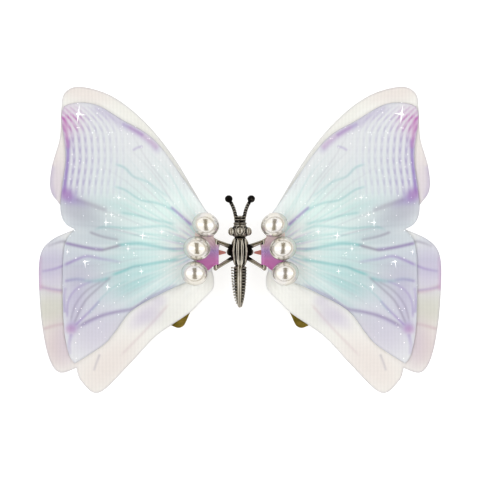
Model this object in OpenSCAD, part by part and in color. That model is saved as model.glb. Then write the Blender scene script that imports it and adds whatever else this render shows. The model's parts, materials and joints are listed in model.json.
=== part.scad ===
// Butterfly hair clip: a cast body with two side loops, and on each loop a wing
// unit of two organza layers, a ribbon hinge, three pearls and an alligator clip.
// +X points to the right wing, +Y to the head, +Z out of the wings' upper face.
// The clip lies on its two lower jaws, and the origin is under its middle.

/* [Wings] */
// Wingspan from tip to tip
wing_span = 82; // [70:1:100]
// Height of the wings from fore wing tip to hind lobe
wing_height = 62.5; // [54:0.5:76]
// Thickness of one organza layer
organza_t = 0.2; // [0.15:0.05:0.3]
// Radius of the upper layer's upward curve
front_curve_r = 170; // [130:5:250]
// Radius of the lower layer's upward curve
back_curve_r = 175; // [130:5:300]

/* [Body casting] */
// Half width of the thorax
thorax_r = 1.7; // [1.2:0.1:2.2]
// Distance from the tip of the abdomen to the thorax
abdomen_len = 8.3; // [6:0.1:11]
// Length of the thorax
thorax_len = 6.2; // [5.4:0.1:8]
// Radius of the head
head_r = 1.9; // [1.5:0.1:2.4]
// Radius of an eye
eye_r = 0.75; // [0.5:0.05:1]
// Length of an antenna seen from above
antenna_len = 4; // [3:0.1:6]
// Radius of the ball on an antenna
antenna_ball_r = 0.82; // [0.5:0.02:1]

/* [Loops and ribbon hinge] */
// Distance from the centre line to a loop's outer bar
bar_x = 5; // [4.6:0.1:6]
// Radius of the outer bar
bar_r = 0.45; // [0.35:0.05:0.6]
// Free length of the outer bar
bar_len = 5.7; // [5.2:0.1:6.5]
// Running clearance between the bar and the ribbon round it
bar_gap = 0.05; // [0.03:0.01:0.1]
// Thickness of the ribbon
ribbon_t = 0.2; // [0.15:0.05:0.3]
// Width of the ribbon where it is not gathered
ribbon_w = 10; // [8:0.5:12]
// Reach of the ribbon's tails under the pearls
ribbon_tail = 4.2; // [3.6:0.1:5]

/* [Pearls] */
// Diameter of a pearl
pearl_d = 5.6; // [4.8:0.1:6.8]
// Length of a pearl along its drilled hole
pearl_len = 4.95; // [4:0.05:6]
// Diameter of the drilled hole
pearl_bore = 0.8; // [0.6:0.1:1]
// Space between two pearls on the thread
pearl_gap = 0.15; // [0.1:0.05:0.6]
// Diameter of the sewing thread
thread_d = 0.2; // [0.15:0.05:0.3]

/* [Alligator clip] */
// Length of the upper jaw
clip_len = 20; // [18:0.5:24]
// Width of the jaws
clip_w = 6; // [5.5:0.1:7.2]
// Height of the closed clip
clip_h = 4.8; // [4.4:0.1:6]
// Thickness of the jaws' sheet metal
jaw_t = 0.5; // [0.4:0.05:0.6]
// Distance from the lever's end to the pin
lever_len = 7; // [6:0.1:8.4]
// Diameter of the pin
pin_d = 1; // [0.8:0.05:1.2]
// Running clearance between the pin and the lower jaw
pin_gap = 0.05; // [0.03:0.01:0.1]
// Diameter of the spring wire
spring_wire = 0.5; // [0.4:0.05:0.6]
// Thickness of the felt pad
pad_t = 1; // [0.6:0.1:1.5]
// Width of the felt pad
pad_w = 6.4; // [5.8:0.1:7.4]

/* [Hidden] */
$fn = 48;

// Outlines of the right wing at its designed size, from the root round the margin.
// Each list is one smooth stretch, and stretches meet in corners.
design_half_span = 41;
design_height = 62.5;
design_root_x = 5.7;
back_fore_edge = [[5, 6.8], [7.2, 9.4], [13.4, 19.7], [19.4, 27.1], [26, 32.3], [32.6, 34.3],
    [35.8, 33], [36.5, 29.5], [36.8, 23.8], [38.4, 18], [38.6, 13.2], [36.6, 10], [33.7, 5.2]];
back_hind_edge = [[33.7, 5.2], [38.1, 3.2], [40.5, 0.4], [41, -5], [40.4, -14],
    [39, -20.9], [36.8, -24], [33.4, -23.1]];
back_tail_edge = [[33.4, -23.1], [32.4, -25.8], [28.8, -28.2], [22.7, -22.5], [17.2, -16.7],
    [10.6, -12.1], [8.2, -9.8], [5.6, -7.1], [5.3, -4.6]];
front_fore_edge = [[5, 6.5], [9.8, 13], [17.2, 23.2], [24.1, 27.6], [29.6, 30.7], [34.6, 30.8],
    [36.4, 28.6], [35.6, 20.2], [36.3, 14], [36.6, 9], [35.6, 6.4], [33.7, 5.2]];
front_hind_edge = [[33.7, 5.2], [35.6, 2.5], [36.2, -4], [36, -14], [35, -20], [33.7, -22.2]];
front_tail_edge = [[33.7, -22.2], [27.9, -18.4], [25.5, -15.7], [21.9, -11.2], [14.5, -7.2],
    [8, -4.4], [5.7, -3.3]];
curve_steps = 4;

// Ribbon and hinge levels, stacked up from the table
pad_top = clip_h + pad_t;
fold_r = bar_r + bar_gap;
layer_gap = 0.1;
hinge_z = pad_top + ribbon_t + fold_r;
back_z = hinge_z - fold_r;
front_z = hinge_z + fold_r - organza_t - layer_gap;
ribbon_top = hinge_z + fold_r + ribbon_t;

// Pearls stand in a slightly bent row on the ribbon's upper tail
pearl_r = pearl_d / 2;
pearl_z = ribbon_top + pearl_r;
pearl_step = pearl_len + pearl_gap;
row_x = bar_x + pearl_r + 0.95;
row_y = 1.35;
row_turn_top = 20.5;
row_turn_bottom = 5;
row_turn_middle = (row_turn_top + row_turn_bottom) / 2;
row_middle = [row_x, row_y];
row_top = row_middle + pearl_step * [-sin(row_turn_top), cos(row_turn_top)];
row_bottom = row_middle - pearl_step * [-sin(row_turn_bottom), cos(row_turn_bottom)];

// Root edge of the wings: behind the fold of the ribbon, between the loop's arms
root_x = bar_x + fold_r + ribbon_t;
bar_top_y = bar_len / 2;
bar_bottom_y = -bar_len / 2;
root_margin = 0.45;
back_root_drop = 1.9;
front_root_drop = 1.6;

// Ribbon: gathered width at the bar, fan under the pearls, and the tucked end
gather_w = bar_len - 2 * bar_r - 0.7;
flare_x = bar_x + 0.6;
flare_rise = 1.6;
tuck_len = 2.1;
tuck_w = 1.5;
tuck_y = -0.3;

// Place of the alligator clip: middle of the lever's end, and its direction
clip_x = bar_x + 1.5;
clip_y = 4;
clip_turn = -66;
corner_r = 1.5;
pin_r = pin_d / 2;
pin_z = clip_h / 2;
ear_r = pin_r + 0.4;
ear_t = 0.45;
jaw_gap = 0.04;
pin_head_t = 0.25;
pin_head_r = pin_r + 0.25;
inner_ear_gap = 0.1;
upper_ear_v = clip_w / 2 - ear_t;
lower_ear_v = upper_ear_v - inner_ear_gap - ear_t;
bow_len = 6;
bow_rise = clip_h - jaw_t - jaw_gap;
bow_angle = 2 * atan(bow_rise / bow_len);
bow_r = bow_len / sin(bow_angle);
nose_u = clip_len - 0.3;
flat_u = nose_u - bow_len;
tooth_count = 5;
tooth_h = 0.5;
pad_inset = 0.3;
coil_turns = 5;
coil_r = pin_r + 0.12 + spring_wire / 2;
coil_pitch = spring_wire * 1.04;
leg_end = 2.4;

// Body casting levels
body_z = hinge_z + 0.3;
body_flat_z = hinge_z - 0.7;
thorax_y = -2.7;
head_y = thorax_y + thorax_len + 1.4;
abdomen_ribs = 14;
rib_waist = 0.86;
ridge_x = 0.75;
ridge_r = 0.22;
ridge_z = body_z + thorax_r - 0.25;
collar_r = 1.35;
collar_len = 1.5;
collar_y = head_y + head_r - 0.5;
band_starts = [0.45, 1.2];
band_len = 0.3;
band_out = 0.15;
arm_r = 0.35;
arm_x = thorax_r - 0.6;
arm_top_y = 1.3;
arm_bottom_y = -0.4;
antenna_r = 0.4;
antenna_root = [0.85, collar_y + collar_len - 0.4, body_z + 0.3];
antenna_tip = [2.35, antenna_root[1] + antenna_len, body_z + 1.6];

// The wings' middle is put over the origin
wing_points = wing_outline(true);
mid_y = (max([for (p = wing_points) p[1]]) + min([for (p = wing_points) p[1]])) / 2;

// Catmull-Rom curve through a list of points, open at both ends
function blend(a, b, c, d, t) = 0.5 * (2 * b + (c - a) * t + (2 * a - 5 * b + 4 * c - d) * t * t
    + (3 * b - a - 3 * c + d) * t * t * t);
function curve(p) = let (n = len(p) - 1) [
    for (i = [0:n - 1], k = [0:curve_steps - 1])
        blend(p[max(i - 1, 0)], p[i], p[i + 1], p[min(i + 2, n)], k / curve_steps)
];
function fit(p) = [
    p[0] <= design_root_x ? p[0] - design_root_x + root_x
        : root_x + (p[0] - design_root_x) * (wing_span / 2 - root_x) / (design_half_span - design_root_x),
    p[1] * wing_height / design_height
];
function fit_all(list) = [for (p = list) fit(p)];
function root_edge(high) = [[root_x, bar_bottom_y - root_margin], [root_x, bar_top_y + root_margin], high];
function wing_outline(back) = back
    ? concat(curve(fit_all(back_fore_edge)), curve(fit_all(back_hind_edge)),
        curve(fit_all(back_tail_edge)), root_edge(fit(back_fore_edge[0]) - [0, back_root_drop]))
    : concat(curve(fit_all(front_fore_edge)), curve(fit_all(front_hind_edge)),
        curve(fit_all(front_tail_edge)), root_edge(fit(front_fore_edge[0]) - [0, front_root_drop]));

// Puts a right-hand piece in place, and mirrors it for the left side
module right_side() translate([0, -mid_y, 0]) children();
module left_side() mirror([1, 0, 0]) right_side() children();
// Clip frame: +X from the lever's end to the nose, +Y across, +Z up
module at_clip() translate([clip_x, clip_y, 0]) rotate([0, 0, clip_turn]) children();
// Pearl frame: +Z along the drilled hole
module at_pearl(centre, turn) translate([centre[0], centre[1], pearl_z]) rotate([-90, 0, turn]) children();
// Extrudes a profile drawn in the clip's length and height across its width
module across(width) rotate([90, 0, 0]) linear_extrude(height = width, center = true) children();
module ball_at(p, r) translate(p) sphere(r = r);
// Round bar with ball ends between two points
module rod(a, b, r) {
    d = b - a;
    translate(a) rotate([0, acos(d[2] / norm(d)), atan2(d[1], d[0])]) cylinder(r = r, h = norm(d));
    ball_at(a, r);
    ball_at(b, r);
}

// One organza layer: the wing's outline cut from a sheet curved about a long axis
module organza(outline, z, r) {
    curve_x = root_x + 4;
    rise = (wing_span / 2 - curve_x) ^ 2 / r;
    intersection() {
        translate([0, 0, z - 1]) linear_extrude(height = rise + 2) polygon(outline);
        translate([curve_x, 0, z + r]) rotate([90, 0, 0]) difference() {
            cylinder(r = r, h = 2 * wing_height, center = true, $fn = 360);
            cylinder(r = r - organza_t, h = 2 * wing_height + 2, center = true, $fn = 360);
        }
    }
}
module wing_front() color("powderblue") organza(wing_outline(false), front_z, front_curve_r);
module wing_back() color("lavender") organza(wing_outline(true), back_z, back_curve_r);

// Plan of a ribbon tail, gathered at the bar and fanned out under the pearls
module ribbon_tail_plan() polygon([
    [bar_x, -gather_w / 2], [flare_x, -gather_w / 2],
    [flare_x + 1, bar_bottom_y - 0.4], [bar_x + ribbon_tail / 2, row_y - ribbon_w / 2],
    [bar_x + ribbon_tail, row_y - ribbon_w / 2], [bar_x + ribbon_tail, row_y + ribbon_w / 2 - 0.4],
    [bar_x + ribbon_tail / 2, row_y + ribbon_w / 2], [flare_x, bar_top_y + flare_rise],
    [flare_x, gather_w / 2], [bar_x, gather_w / 2]
]);
module hinge_ribbon() color("orchid") {
    fold_out = fold_r + ribbon_t;
    for (z = [hinge_z + fold_r, hinge_z - fold_out])
        translate([0, 0, z]) linear_extrude(height = ribbon_t) ribbon_tail_plan();
    translate([bar_x, 0, hinge_z]) rotate([90, 0, 0]) difference() {
        cylinder(r = fold_out, h = gather_w, center = true);
        cylinder(r = fold_r, h = gather_w + 1, center = true);
        translate([0, -fold_out - 1, -gather_w]) cube([fold_out + 1, 2 * fold_out + 2, 2 * gather_w]);
    }
    translate([bar_x - tuck_len, tuck_y, hinge_z - fold_out]) cube([tuck_len + 0.1, tuck_w, ribbon_t]);
}

// Drilled pearl, a little shorter along its hole than across it
module pearl() color("ivory") rotate_extrude($fn = 64) {
    bore_r = pearl_bore / 2;
    half = pearl_len / 2;
    end_angle = acos(bore_r / pearl_r);
    polygon([for (i = [-12:12]) let (a = i * end_angle / 12)
        [i == -12 || i == 12 ? bore_r : pearl_r * cos(a), half * sin(a)]]);
}
module pearl_top() at_pearl(row_top, row_turn_top) pearl();
module pearl_middle() at_pearl(row_middle, row_turn_middle) pearl();
module pearl_bottom() at_pearl(row_bottom, row_turn_bottom) pearl();

// One stitch: through a pearl's hole, down through the layers at both ends, and back below
module stitch(centre, turn) translate([centre[0], centre[1], 0]) rotate([0, 0, turn]) {
    r = thread_d / 2;
    half = pearl_step / 2;
    foot_z = pad_top - 0.05;
    for (z = [pad_top + 0.05, pearl_z]) translate([0, 0, z]) rotate([90, 0, 0])
        cylinder(r = 0.9 * r, h = pearl_step, center = true);
    for (y = [-half, half]) translate([0, y, foot_z]) cylinder(r = r, h = pearl_z + r - foot_z);
}
module sewing_thread() color("white") {
    stitch(row_top, row_turn_top);
    stitch(row_middle, row_turn_middle);
    stitch(row_bottom, row_turn_bottom);
}

// Felt pad with round ends, glued on the clip's upper jaw
module felt_pad() color("whitesmoke") at_clip() translate([0, 0, clip_h]) {
    r = pad_w / 2;
    start = r + pad_inset;
    end = start + 2 * pearl_step - r;
    for (u = [start, end]) translate([u, 0, 0]) cylinder(r = r, h = pad_t);
    translate([start, -r, 0]) cube([end - start, pad_w, pad_t]);
}

// Plan of both jaws: a strip with rounded corners
module jaw_plan() {
    translate([corner_r, -clip_w / 2]) square([clip_len - 2 * corner_r, clip_w]);
    translate([0, -clip_w / 2 + corner_r]) square([clip_len, clip_w - 2 * corner_r]);
    for (u = [corner_r, clip_len - corner_r], v = [corner_r - clip_w / 2, clip_w / 2 - corner_r])
        translate([u, v]) circle(r = corner_r);
}
// Pair of ears with pin holes: root_z is where they leave their jaw
module ears(v, root_z, hole_r) for (side = [-1, 1])
    translate([lever_len, side * (v + ear_t / 2), 0]) difference() {
        union() {
            translate([0, 0, pin_z]) rotate([90, 0, 0]) cylinder(r = ear_r, h = ear_t, center = true);
            translate([-ear_r, -ear_t / 2, min(pin_z, root_z)])
                cube([2 * ear_r, ear_t, abs(pin_z - root_z)]);
        }
        translate([0, 0, pin_z]) rotate([90, 0, 0]) cylinder(r = hole_r, h = ear_t + 1, center = true);
    }
module clip_upper_jaw() color("goldenrod") at_clip() {
    translate([0, 0, clip_h - jaw_t]) linear_extrude(height = jaw_t) jaw_plan();
    ears(upper_ear_v, clip_h - jaw_t / 2, pin_r);
}
// Side profile of the lower jaw: flat lever and belly, then a bow up to the nose
module lower_profile() polygon(concat(
    [[0, jaw_t], [0, 0]],
    [for (i = [0:12]) let (a = bow_angle * i / 12) [flat_u + bow_r * sin(a), bow_r * (1 - cos(a))]],
    [for (i = [12:-1:0]) let (a = bow_angle * i / 12)
        [flat_u + (bow_r - jaw_t) * sin(a), bow_r - (bow_r - jaw_t) * cos(a)]]
));
module clip_lower_jaw() color("goldenrod") at_clip() {
    tooth_w = clip_w / tooth_count;
    neck_w = 2 * upper_ear_v - 2 * inner_ear_gap;
    difference() {
        intersection() {
            across(clip_w) lower_profile();
            translate([0, 0, -1]) linear_extrude(height = bow_rise + 1) jaw_plan();
        }
        for (i = [1:tooth_count - 1]) translate([nose_u - 3, i * tooth_w - clip_w / 2, bow_rise])
            rotate([0, 90, 0]) linear_extrude(height = 5)
                polygon([[-1, -tooth_w / 2], [tooth_h, 0], [-1, tooth_w / 2]]);
    }
    ears(lower_ear_v, jaw_t / 2, pin_r + pin_gap);
}
module clip_pin() color("gold") at_clip() translate([lever_len, 0, pin_z]) rotate([90, 0, 0]) {
    cylinder(r = pin_r, h = clip_w + 2 * pin_head_t, center = true);
    for (side = [-1, 1]) translate([0, 0, side * (clip_w + pin_head_t) / 2])
        cylinder(r = pin_head_r, h = pin_head_t, center = true);
}
// Torsion spring: touching turns round the pin, one leg up and one leg down
module clip_spring() color("silver") at_clip() translate([lever_len, 0, pin_z]) {
    r = spring_wire / 2;
    leg_r = r * 0.94;
    half = coil_pitch * (coil_turns - 1) / 2;
    leg_u = leg_end - lever_len;
    upper_leg_z = clip_h - jaw_t - pin_z - r;
    lower_leg_z = jaw_t - pin_z + r;
    for (i = [0:coil_turns - 1]) rotate([90, 0, 0]) translate([0, 0, i * coil_pitch - half])
        rotate_extrude() translate([coil_r, 0]) circle(r = r, $fn = 24);
    rod([0, half, coil_r], [leg_u, half, upper_leg_z], leg_r);
    rod([0, -half, -coil_r], [leg_u, -half, lower_leg_z], leg_r);
}

// Ribbed abdomen, thorax and collar turned about the body's length
function abdomen_half(t) = thorax_r * (t < 0.55 ? 1 : sqrt(max(0, 1 - ((t - 0.55) / 0.45) ^ 2)));
module body_turned() translate([0, thorax_y, body_z]) rotate([-90, 0, 0]) rotate_extrude() polygon(concat(
    [[0, -abdomen_len]],
    [for (i = [abdomen_ribs:-1:1])
        let (middle = (i - 0.5) / abdomen_ribs, half = max(0.3, abdomen_half(middle) * 0.96))
        each [[half * rib_waist, -abdomen_len * (i - 0.1) / abdomen_ribs], [half, -abdomen_len * middle]]],
    [[thorax_r * rib_waist, 0], [thorax_r, 0.4], [thorax_r, thorax_len - 0.7],
        [thorax_r * 0.8, thorax_len], [0, thorax_len]]
));
// Eye, antenna, loop with its two arms, and back ridge of the right side
module body_side() {
    ball_at([head_r - 0.05, head_y + 0.2, body_z + 0.5], eye_r);
    rod(antenna_root, antenna_tip, antenna_r);
    ball_at(antenna_tip, antenna_ball_r);
    rod([bar_x, bar_top_y, hinge_z], [bar_x, bar_bottom_y, hinge_z], bar_r);
    rod([arm_x, arm_top_y, hinge_z], [bar_x, bar_top_y, hinge_z], arm_r);
    rod([arm_x, arm_bottom_y, hinge_z], [bar_x, bar_bottom_y, hinge_z], arm_r);
    rod([ridge_x, thorax_y + 0.8, ridge_z], [ridge_x, thorax_y + thorax_len - 0.9, ridge_z], ridge_r);
}
module body_casting() color("dimgray") translate([0, -mid_y, 0]) difference() {
    union() {
        body_turned();
        ball_at([0, head_y, body_z], head_r);
        translate([0, collar_y, body_z]) rotate([-90, 0, 0]) {
            cylinder(r = collar_r, h = collar_len);
            for (z = band_starts) translate([0, 0, z]) cylinder(r = collar_r + band_out, h = band_len);
        }
        body_side();
        mirror([1, 0, 0]) body_side();
    }
    translate([-thorax_r * 3, -20, body_flat_z - 20]) cube([thorax_r * 6, 60, 20]);
}

module left_wing_front() left_side() wing_front();
module left_wing_back() left_side() wing_back();
module left_hinge_ribbon() left_side() hinge_ribbon();
module left_pearl_top() left_side() pearl_top();
module left_pearl_middle() left_side() pearl_middle();
module left_pearl_bottom() left_side() pearl_bottom();
module left_sewing_thread() left_side() sewing_thread();
module left_felt_pad() left_side() felt_pad();
module left_clip_upper_jaw() left_side() clip_upper_jaw();
module left_clip_lower_jaw() left_side() clip_lower_jaw();
module left_clip_pin() left_side() clip_pin();
module left_clip_spring() left_side() clip_spring();
module right_wing_front() right_side() wing_front();
module right_wing_back() right_side() wing_back();
module right_hinge_ribbon() right_side() hinge_ribbon();
module right_pearl_top() right_side() pearl_top();
module right_pearl_middle() right_side() pearl_middle();
module right_pearl_bottom() right_side() pearl_bottom();
module right_sewing_thread() right_side() sewing_thread();
module right_felt_pad() right_side() felt_pad();
module right_clip_upper_jaw() right_side() clip_upper_jaw();
module right_clip_lower_jaw() right_side() clip_lower_jaw();
module right_clip_pin() right_side() clip_pin();
module right_clip_spring() right_side() clip_spring();

body_casting();
left_wing_front();
left_wing_back();
left_hinge_ribbon();
left_pearl_top();
left_pearl_middle();
left_pearl_bottom();
left_sewing_thread();
left_felt_pad();
left_clip_upper_jaw();
left_clip_lower_jaw();
left_clip_pin();
left_clip_spring();
right_wing_front();
right_wing_back();
right_hinge_ribbon();
right_pearl_top();
right_pearl_middle();
right_pearl_bottom();
right_sewing_thread();
right_felt_pad();
right_clip_upper_jaw();
right_clip_lower_jaw();
right_clip_pin();
right_clip_spring();
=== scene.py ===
"""Looks of a butterfly hair clip: sheer printed wings, pearls, a ribbon hinge and a cast silver body.

Every size in the piece functions is in millimetres on the clip, with x out to the right wing's tip,
y up to the head and z up from the table. The right side is drawn, and the left side is its mirror.
"""

import json
import math

import bmesh
import bpy
import numpy as np
from bpy.props import FloatProperty, FloatVectorProperty, IntProperty, PointerProperty
from mathutils import Matrix, Vector, noise
from mathutils.geometry import delaunay_2d_cdt


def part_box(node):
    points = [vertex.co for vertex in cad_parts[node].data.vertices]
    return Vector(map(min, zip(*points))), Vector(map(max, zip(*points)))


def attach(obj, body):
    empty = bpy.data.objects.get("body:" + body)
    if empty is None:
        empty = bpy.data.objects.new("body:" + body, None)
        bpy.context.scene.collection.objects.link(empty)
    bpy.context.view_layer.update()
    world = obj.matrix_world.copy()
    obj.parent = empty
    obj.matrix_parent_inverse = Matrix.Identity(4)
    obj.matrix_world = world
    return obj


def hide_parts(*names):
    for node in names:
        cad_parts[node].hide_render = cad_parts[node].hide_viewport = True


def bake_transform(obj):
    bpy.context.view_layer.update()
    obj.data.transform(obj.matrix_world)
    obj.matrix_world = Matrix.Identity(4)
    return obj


bl_info = {
    "name": "Butterfly hair clip",
    "version": (1, 0, 0),
    "blender": (4, 5, 0),
    "location": "View3D > Sidebar > Hair clip",
    "description": "Builds the printed organza wings, pearls, ribbon hinge and cast body of a hair clip",
    "category": "Add Mesh",
}

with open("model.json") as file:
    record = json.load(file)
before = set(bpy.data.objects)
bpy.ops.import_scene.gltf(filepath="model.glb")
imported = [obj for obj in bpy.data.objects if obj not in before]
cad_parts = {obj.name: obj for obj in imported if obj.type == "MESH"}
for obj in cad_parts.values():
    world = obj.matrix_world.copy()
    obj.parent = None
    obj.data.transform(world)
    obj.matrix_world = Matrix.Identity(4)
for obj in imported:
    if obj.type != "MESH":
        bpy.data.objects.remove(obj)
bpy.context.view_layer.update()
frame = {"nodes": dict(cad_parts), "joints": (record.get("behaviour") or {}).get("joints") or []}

MM = 0.001
WAVE_SCALE = 2 * math.pi / 20  # a Wave Texture of this scale has bands one unit apart
SIDES = {"right": 1, "left": -1}

# Outlines of the right wing, from the root round the margin, as in the part's source.
BACK_FORE_EDGE = [(5, 6.8), (7.2, 9.4), (13.4, 19.7), (19.4, 27.1), (26, 32.3), (32.6, 34.3),
                  (35.8, 33), (36.5, 29.5), (36.8, 23.8), (38.4, 18), (38.6, 13.2), (36.6, 10), (33.7, 5.2)]
BACK_HIND_EDGE = [(33.7, 5.2), (38.1, 3.2), (40.5, 0.4), (41, -5), (40.4, -14),
                  (39, -20.9), (36.8, -24), (33.4, -23.1)]
BACK_TAIL_EDGE = [(33.4, -23.1), (32.4, -25.8), (28.8, -28.2), (22.7, -22.5), (17.2, -16.7),
                  (10.6, -12.1), (8.2, -9.8), (5.6, -7.1), (5.3, -4.6)]
FRONT_FORE_EDGE = [(5, 6.5), (9.8, 13), (17.2, 23.2), (24.1, 27.6), (29.6, 30.7), (34.6, 30.8),
                   (36.4, 28.6), (35.6, 20.2), (36.3, 14), (36.6, 9), (35.6, 6.4), (33.7, 5.2)]
FRONT_HIND_EDGE = [(33.7, 5.2), (35.6, 2.5), (36.2, -4), (36, -14), (35, -20), (33.7, -22.2)]
FRONT_TAIL_EDGE = [(33.7, -22.2), (27.9, -18.4), (25.5, -15.7), (21.9, -11.2), (14.5, -7.2),
                   (8, -4.4), (5.7, -3.3)]

# Sizes of the wings, hinge, ribbon, pearls, thread, clip and body that the pieces share
ROOT_X = 5.7
CURVE_X = ROOT_X + 4
FRONT_CURVE_R = 170
BACK_CURVE_R = 175
FRONT_SETTLES = 0.44
FRONT_COVER = 0.86  # share of the light that a layer stops
BACK_COVER = 0.84
FLAKE_SIZES = (0.10, 0.22)
FLAKE_LIFT = 0.03
ORGANZA_T = 0.2
BAR_X = 5.0
BAR_R = 0.45
BAR_TOP_Y = 2.85
BAR_BOTTOM_Y = -2.85
RIBBON_T = 0.2
RIBBON_SHOWN_T = 0.12
RIBBON_GAP = 0.05
RIBBON_END_X = 9.2
RIBBON_GATHERS = 7.5
GATHER_HEIGHT = 0.045
TUCK_X = 2.9
PEARL_HALF = 4.95 / 2
PEARL_BORE = 0.8
PEARL_TURNS = {"top": 20.5, "middle": 12.75, "bottom": 5.0}
PLY_R = 0.055
PLY_APART = 0.05
PLY_PITCH = 0.5
SEWING_STEP = 0.05
CLIP_TURN = -66.0
COIL_R = 0.87
COIL_HALF = 1.13
COIL_TURNS = 4.5
SPRING_R = 0.235
SPRING_LEG = 4.6
PAD_R = 3.2
PAD_HALF = 3.5
FIBRE_R = 0.016
FIBRES = 420
ROLLED_EDGE = 0.07
BODY_FLAT_Z = 5.8
BODY_Z = 6.8
CASTING_VOXEL = 0.08
FLAT_RECESS = 0.47  # between worn ridges (0) and blackened hollows (1)
HOLLOW_DEPTH = 0.15

# Stage, in metres
FOCUS_Z = 0.008
SOFTBOX_PLACE = (0.45, 0.0, 0.55)
SOFTBOX_SIZE = (0.35, 0.8)


# ---------------------------------------------------------------- small tools

def linear(hex_colour):
    """Linear colour of an sRGB hex value such as "c8b273"."""
    parts = [int(hex_colour[i:i + 2], 16) / 255 for i in (0, 2, 4)]
    return [p / 12.92 if p <= 0.04045 else ((p + 0.055) / 1.055) ** 2.4 for p in parts] + [1.0]


def add_node(tree, kind, sockets=None, **settings):
    """Adds a node with its properties, and its inputs by name or number as values or links."""
    node = tree.nodes.new(kind)
    for name, value in settings.items():
        setattr(node, name, value)
    for key, value in (sockets or {}).items():
        if isinstance(value, bpy.types.NodeSocket):
            tree.links.new(value, node.inputs[key])
        else:
            node.inputs[key].default_value = value
    return node.outputs


def new_material(name, uv_map=None):
    """Empty node material, its tree, and the place on the object or on a UV map."""
    material = bpy.data.materials.new(name)
    material.use_nodes = True
    tree = material.node_tree
    tree.nodes.clear()
    if uv_map:
        return material, tree, add_node(tree, "ShaderNodeUVMap", uv_map=uv_map)[0]
    return material, tree, add_node(tree, "ShaderNodeTexCoord")["Object"]


def speckle(tree, place, scale, detail=2.0, distortion=0.0):
    """Value socket of a Noise Texture."""
    sockets = {"Vector": place, "Scale": scale, "Detail": detail, "Distortion": distortion}
    return add_node(tree, "ShaderNodeTexNoise", sockets)["Fac"]


def stored(tree, name):
    """Value socket of what is stored on the mesh's points under a name."""
    return add_node(tree, "ShaderNodeAttribute", attribute_name=name)["Fac"]


def finished(material, tree, sockets, bump=None):
    """The material with a Principled surface. A bump is a strength, a distance in metres and a height."""
    if bump:
        sockets["Normal"] = add_node(
            tree, "ShaderNodeBump", dict(zip(("Strength", "Distance", "Height"), bump)))[0]
    surface = add_node(tree, "ShaderNodeBsdfPrincipled", sockets)[0]
    add_node(tree, "ShaderNodeOutputMaterial", {"Surface": surface})
    return material


def mixed(tree, factor, a, b, blend="MIX"):
    """Colour socket between a and b."""
    sockets = {"Factor": factor, 6: a, 7: b}
    return add_node(tree, "ShaderNodeMix", sockets, data_type="RGBA", blend_type=blend)[2]


def maths(tree, operation, a, b=0.0, c=0.0):
    """Value socket of a Math node."""
    return add_node(tree, "ShaderNodeMath", {0: a, 1: b, 2: c}, operation=operation)[0]


def ramp(tree, factor, stops):
    """Colour ramp socket from (place, hex) stops."""
    node = tree.nodes.new("ShaderNodeValToRGB")
    points = node.color_ramp.elements
    while len(points) < len(stops):
        points.new(1.0)
    for point, (place, colour) in zip(points, stops):
        point.position = place
        point.color = linear(colour)
    tree.links.new(factor, node.inputs["Fac"])
    return node.outputs["Color"]


def smooth_curve(points, steps=8):
    """Catmull-Rom curve through a list of points, open at both ends."""
    p = np.array(points, float)
    last = len(p) - 1
    out = []
    for i in range(last):
        a, b, c, d = p[max(i - 1, 0)], p[i], p[i + 1], p[min(i + 2, last)]
        for t in np.arange(steps) / steps:
            out.append(0.5 * (2 * b + (c - a) * t + (2 * a - 5 * b + 4 * c - d) * t * t
                              + (3 * b - a - 3 * c + d) * t ** 3))
    return np.array(out + [p[-1]])


def resampled(points, step):
    """The same line with points at an even step."""
    lengths = np.r_[0, np.cumsum(np.linalg.norm(np.diff(points, axis=0), axis=1))]
    count = max(2, round(lengths[-1] / step) + 1)
    at = np.linspace(0, lengths[-1], count)
    return np.stack([np.interp(at, lengths, points[:, k]) for k in range(points.shape[1])], axis=1)


def fade(values, start, end):
    """0 up to start, 1 from end on, and even between them. The start may lie above the end."""
    return np.clip((values - start) / (end - start), 0, 1)


def placed(points, side):
    """Points in millimetres on the clip as points in metres in the part's frame."""
    p = np.array(points, float)
    return (p - (0, MIDDLE_Y, 0)) * (side, 1, 1) * MM


def new_object(name, data):
    """New object in the scene with the given data."""
    obj = bpy.data.objects.new(name, data)
    bpy.context.scene.collection.objects.link(obj)
    return obj


def mesh_object(name, points, faces, material=None, smooth=True, edges=()):
    """New object at the origin with its place in its mesh."""
    mesh = bpy.data.meshes.new(name)
    mesh.from_pydata([tuple(p) for p in points], list(edges), [tuple(f) for f in faces])
    mesh.update()
    if smooth:
        mesh.shade_smooth()
    if material:
        mesh.materials.append(material)
    return new_object(name, mesh)


def quads(rows, count, start=0, closed=True, joined_ends=False):
    """Faces between rows of points. A row may be closed, and the last row may join the first."""
    faces = []
    for k in range(rows if joined_ends else rows - 1):
        here, after = start + k * count, start + (k + 1) % rows * count
        for s in range(count if closed else count - 1):
            t = (s + 1) % count
            faces.append((here + s, here + t, after + t, after + s))
    return faces


def outward(obj, merge=True):
    """Turns every face outwards, with doubles merged first unless separate lumps must stay so."""
    bm = bmesh.new()
    bm.from_mesh(obj.data)
    if merge:
        bmesh.ops.remove_doubles(bm, verts=bm.verts, dist=1e-7)
    bmesh.ops.recalc_face_normals(bm, faces=bm.faces)
    bm.to_mesh(obj.data)
    bm.free()
    return obj


def set_values(obj, **values):
    """Stores a value or a vector on each point of the mesh."""
    for name, data in values.items():
        data = np.asarray(data, np.float32)
        kind, key = ("FLOAT", "value") if data.ndim == 1 else ("FLOAT_VECTOR", "vector")
        obj.data.attributes.new(name, kind, "POINT").data.foreach_set(key, data.ravel())


def read(items, key, width=1, kind=float):
    """One property of all items of a mesh, with a row for each item if it has several numbers."""
    data = np.zeros(len(items) * width, kind)
    items.foreach_get(key, data)
    return data.reshape(-1, width) if width > 1 else data


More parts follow.
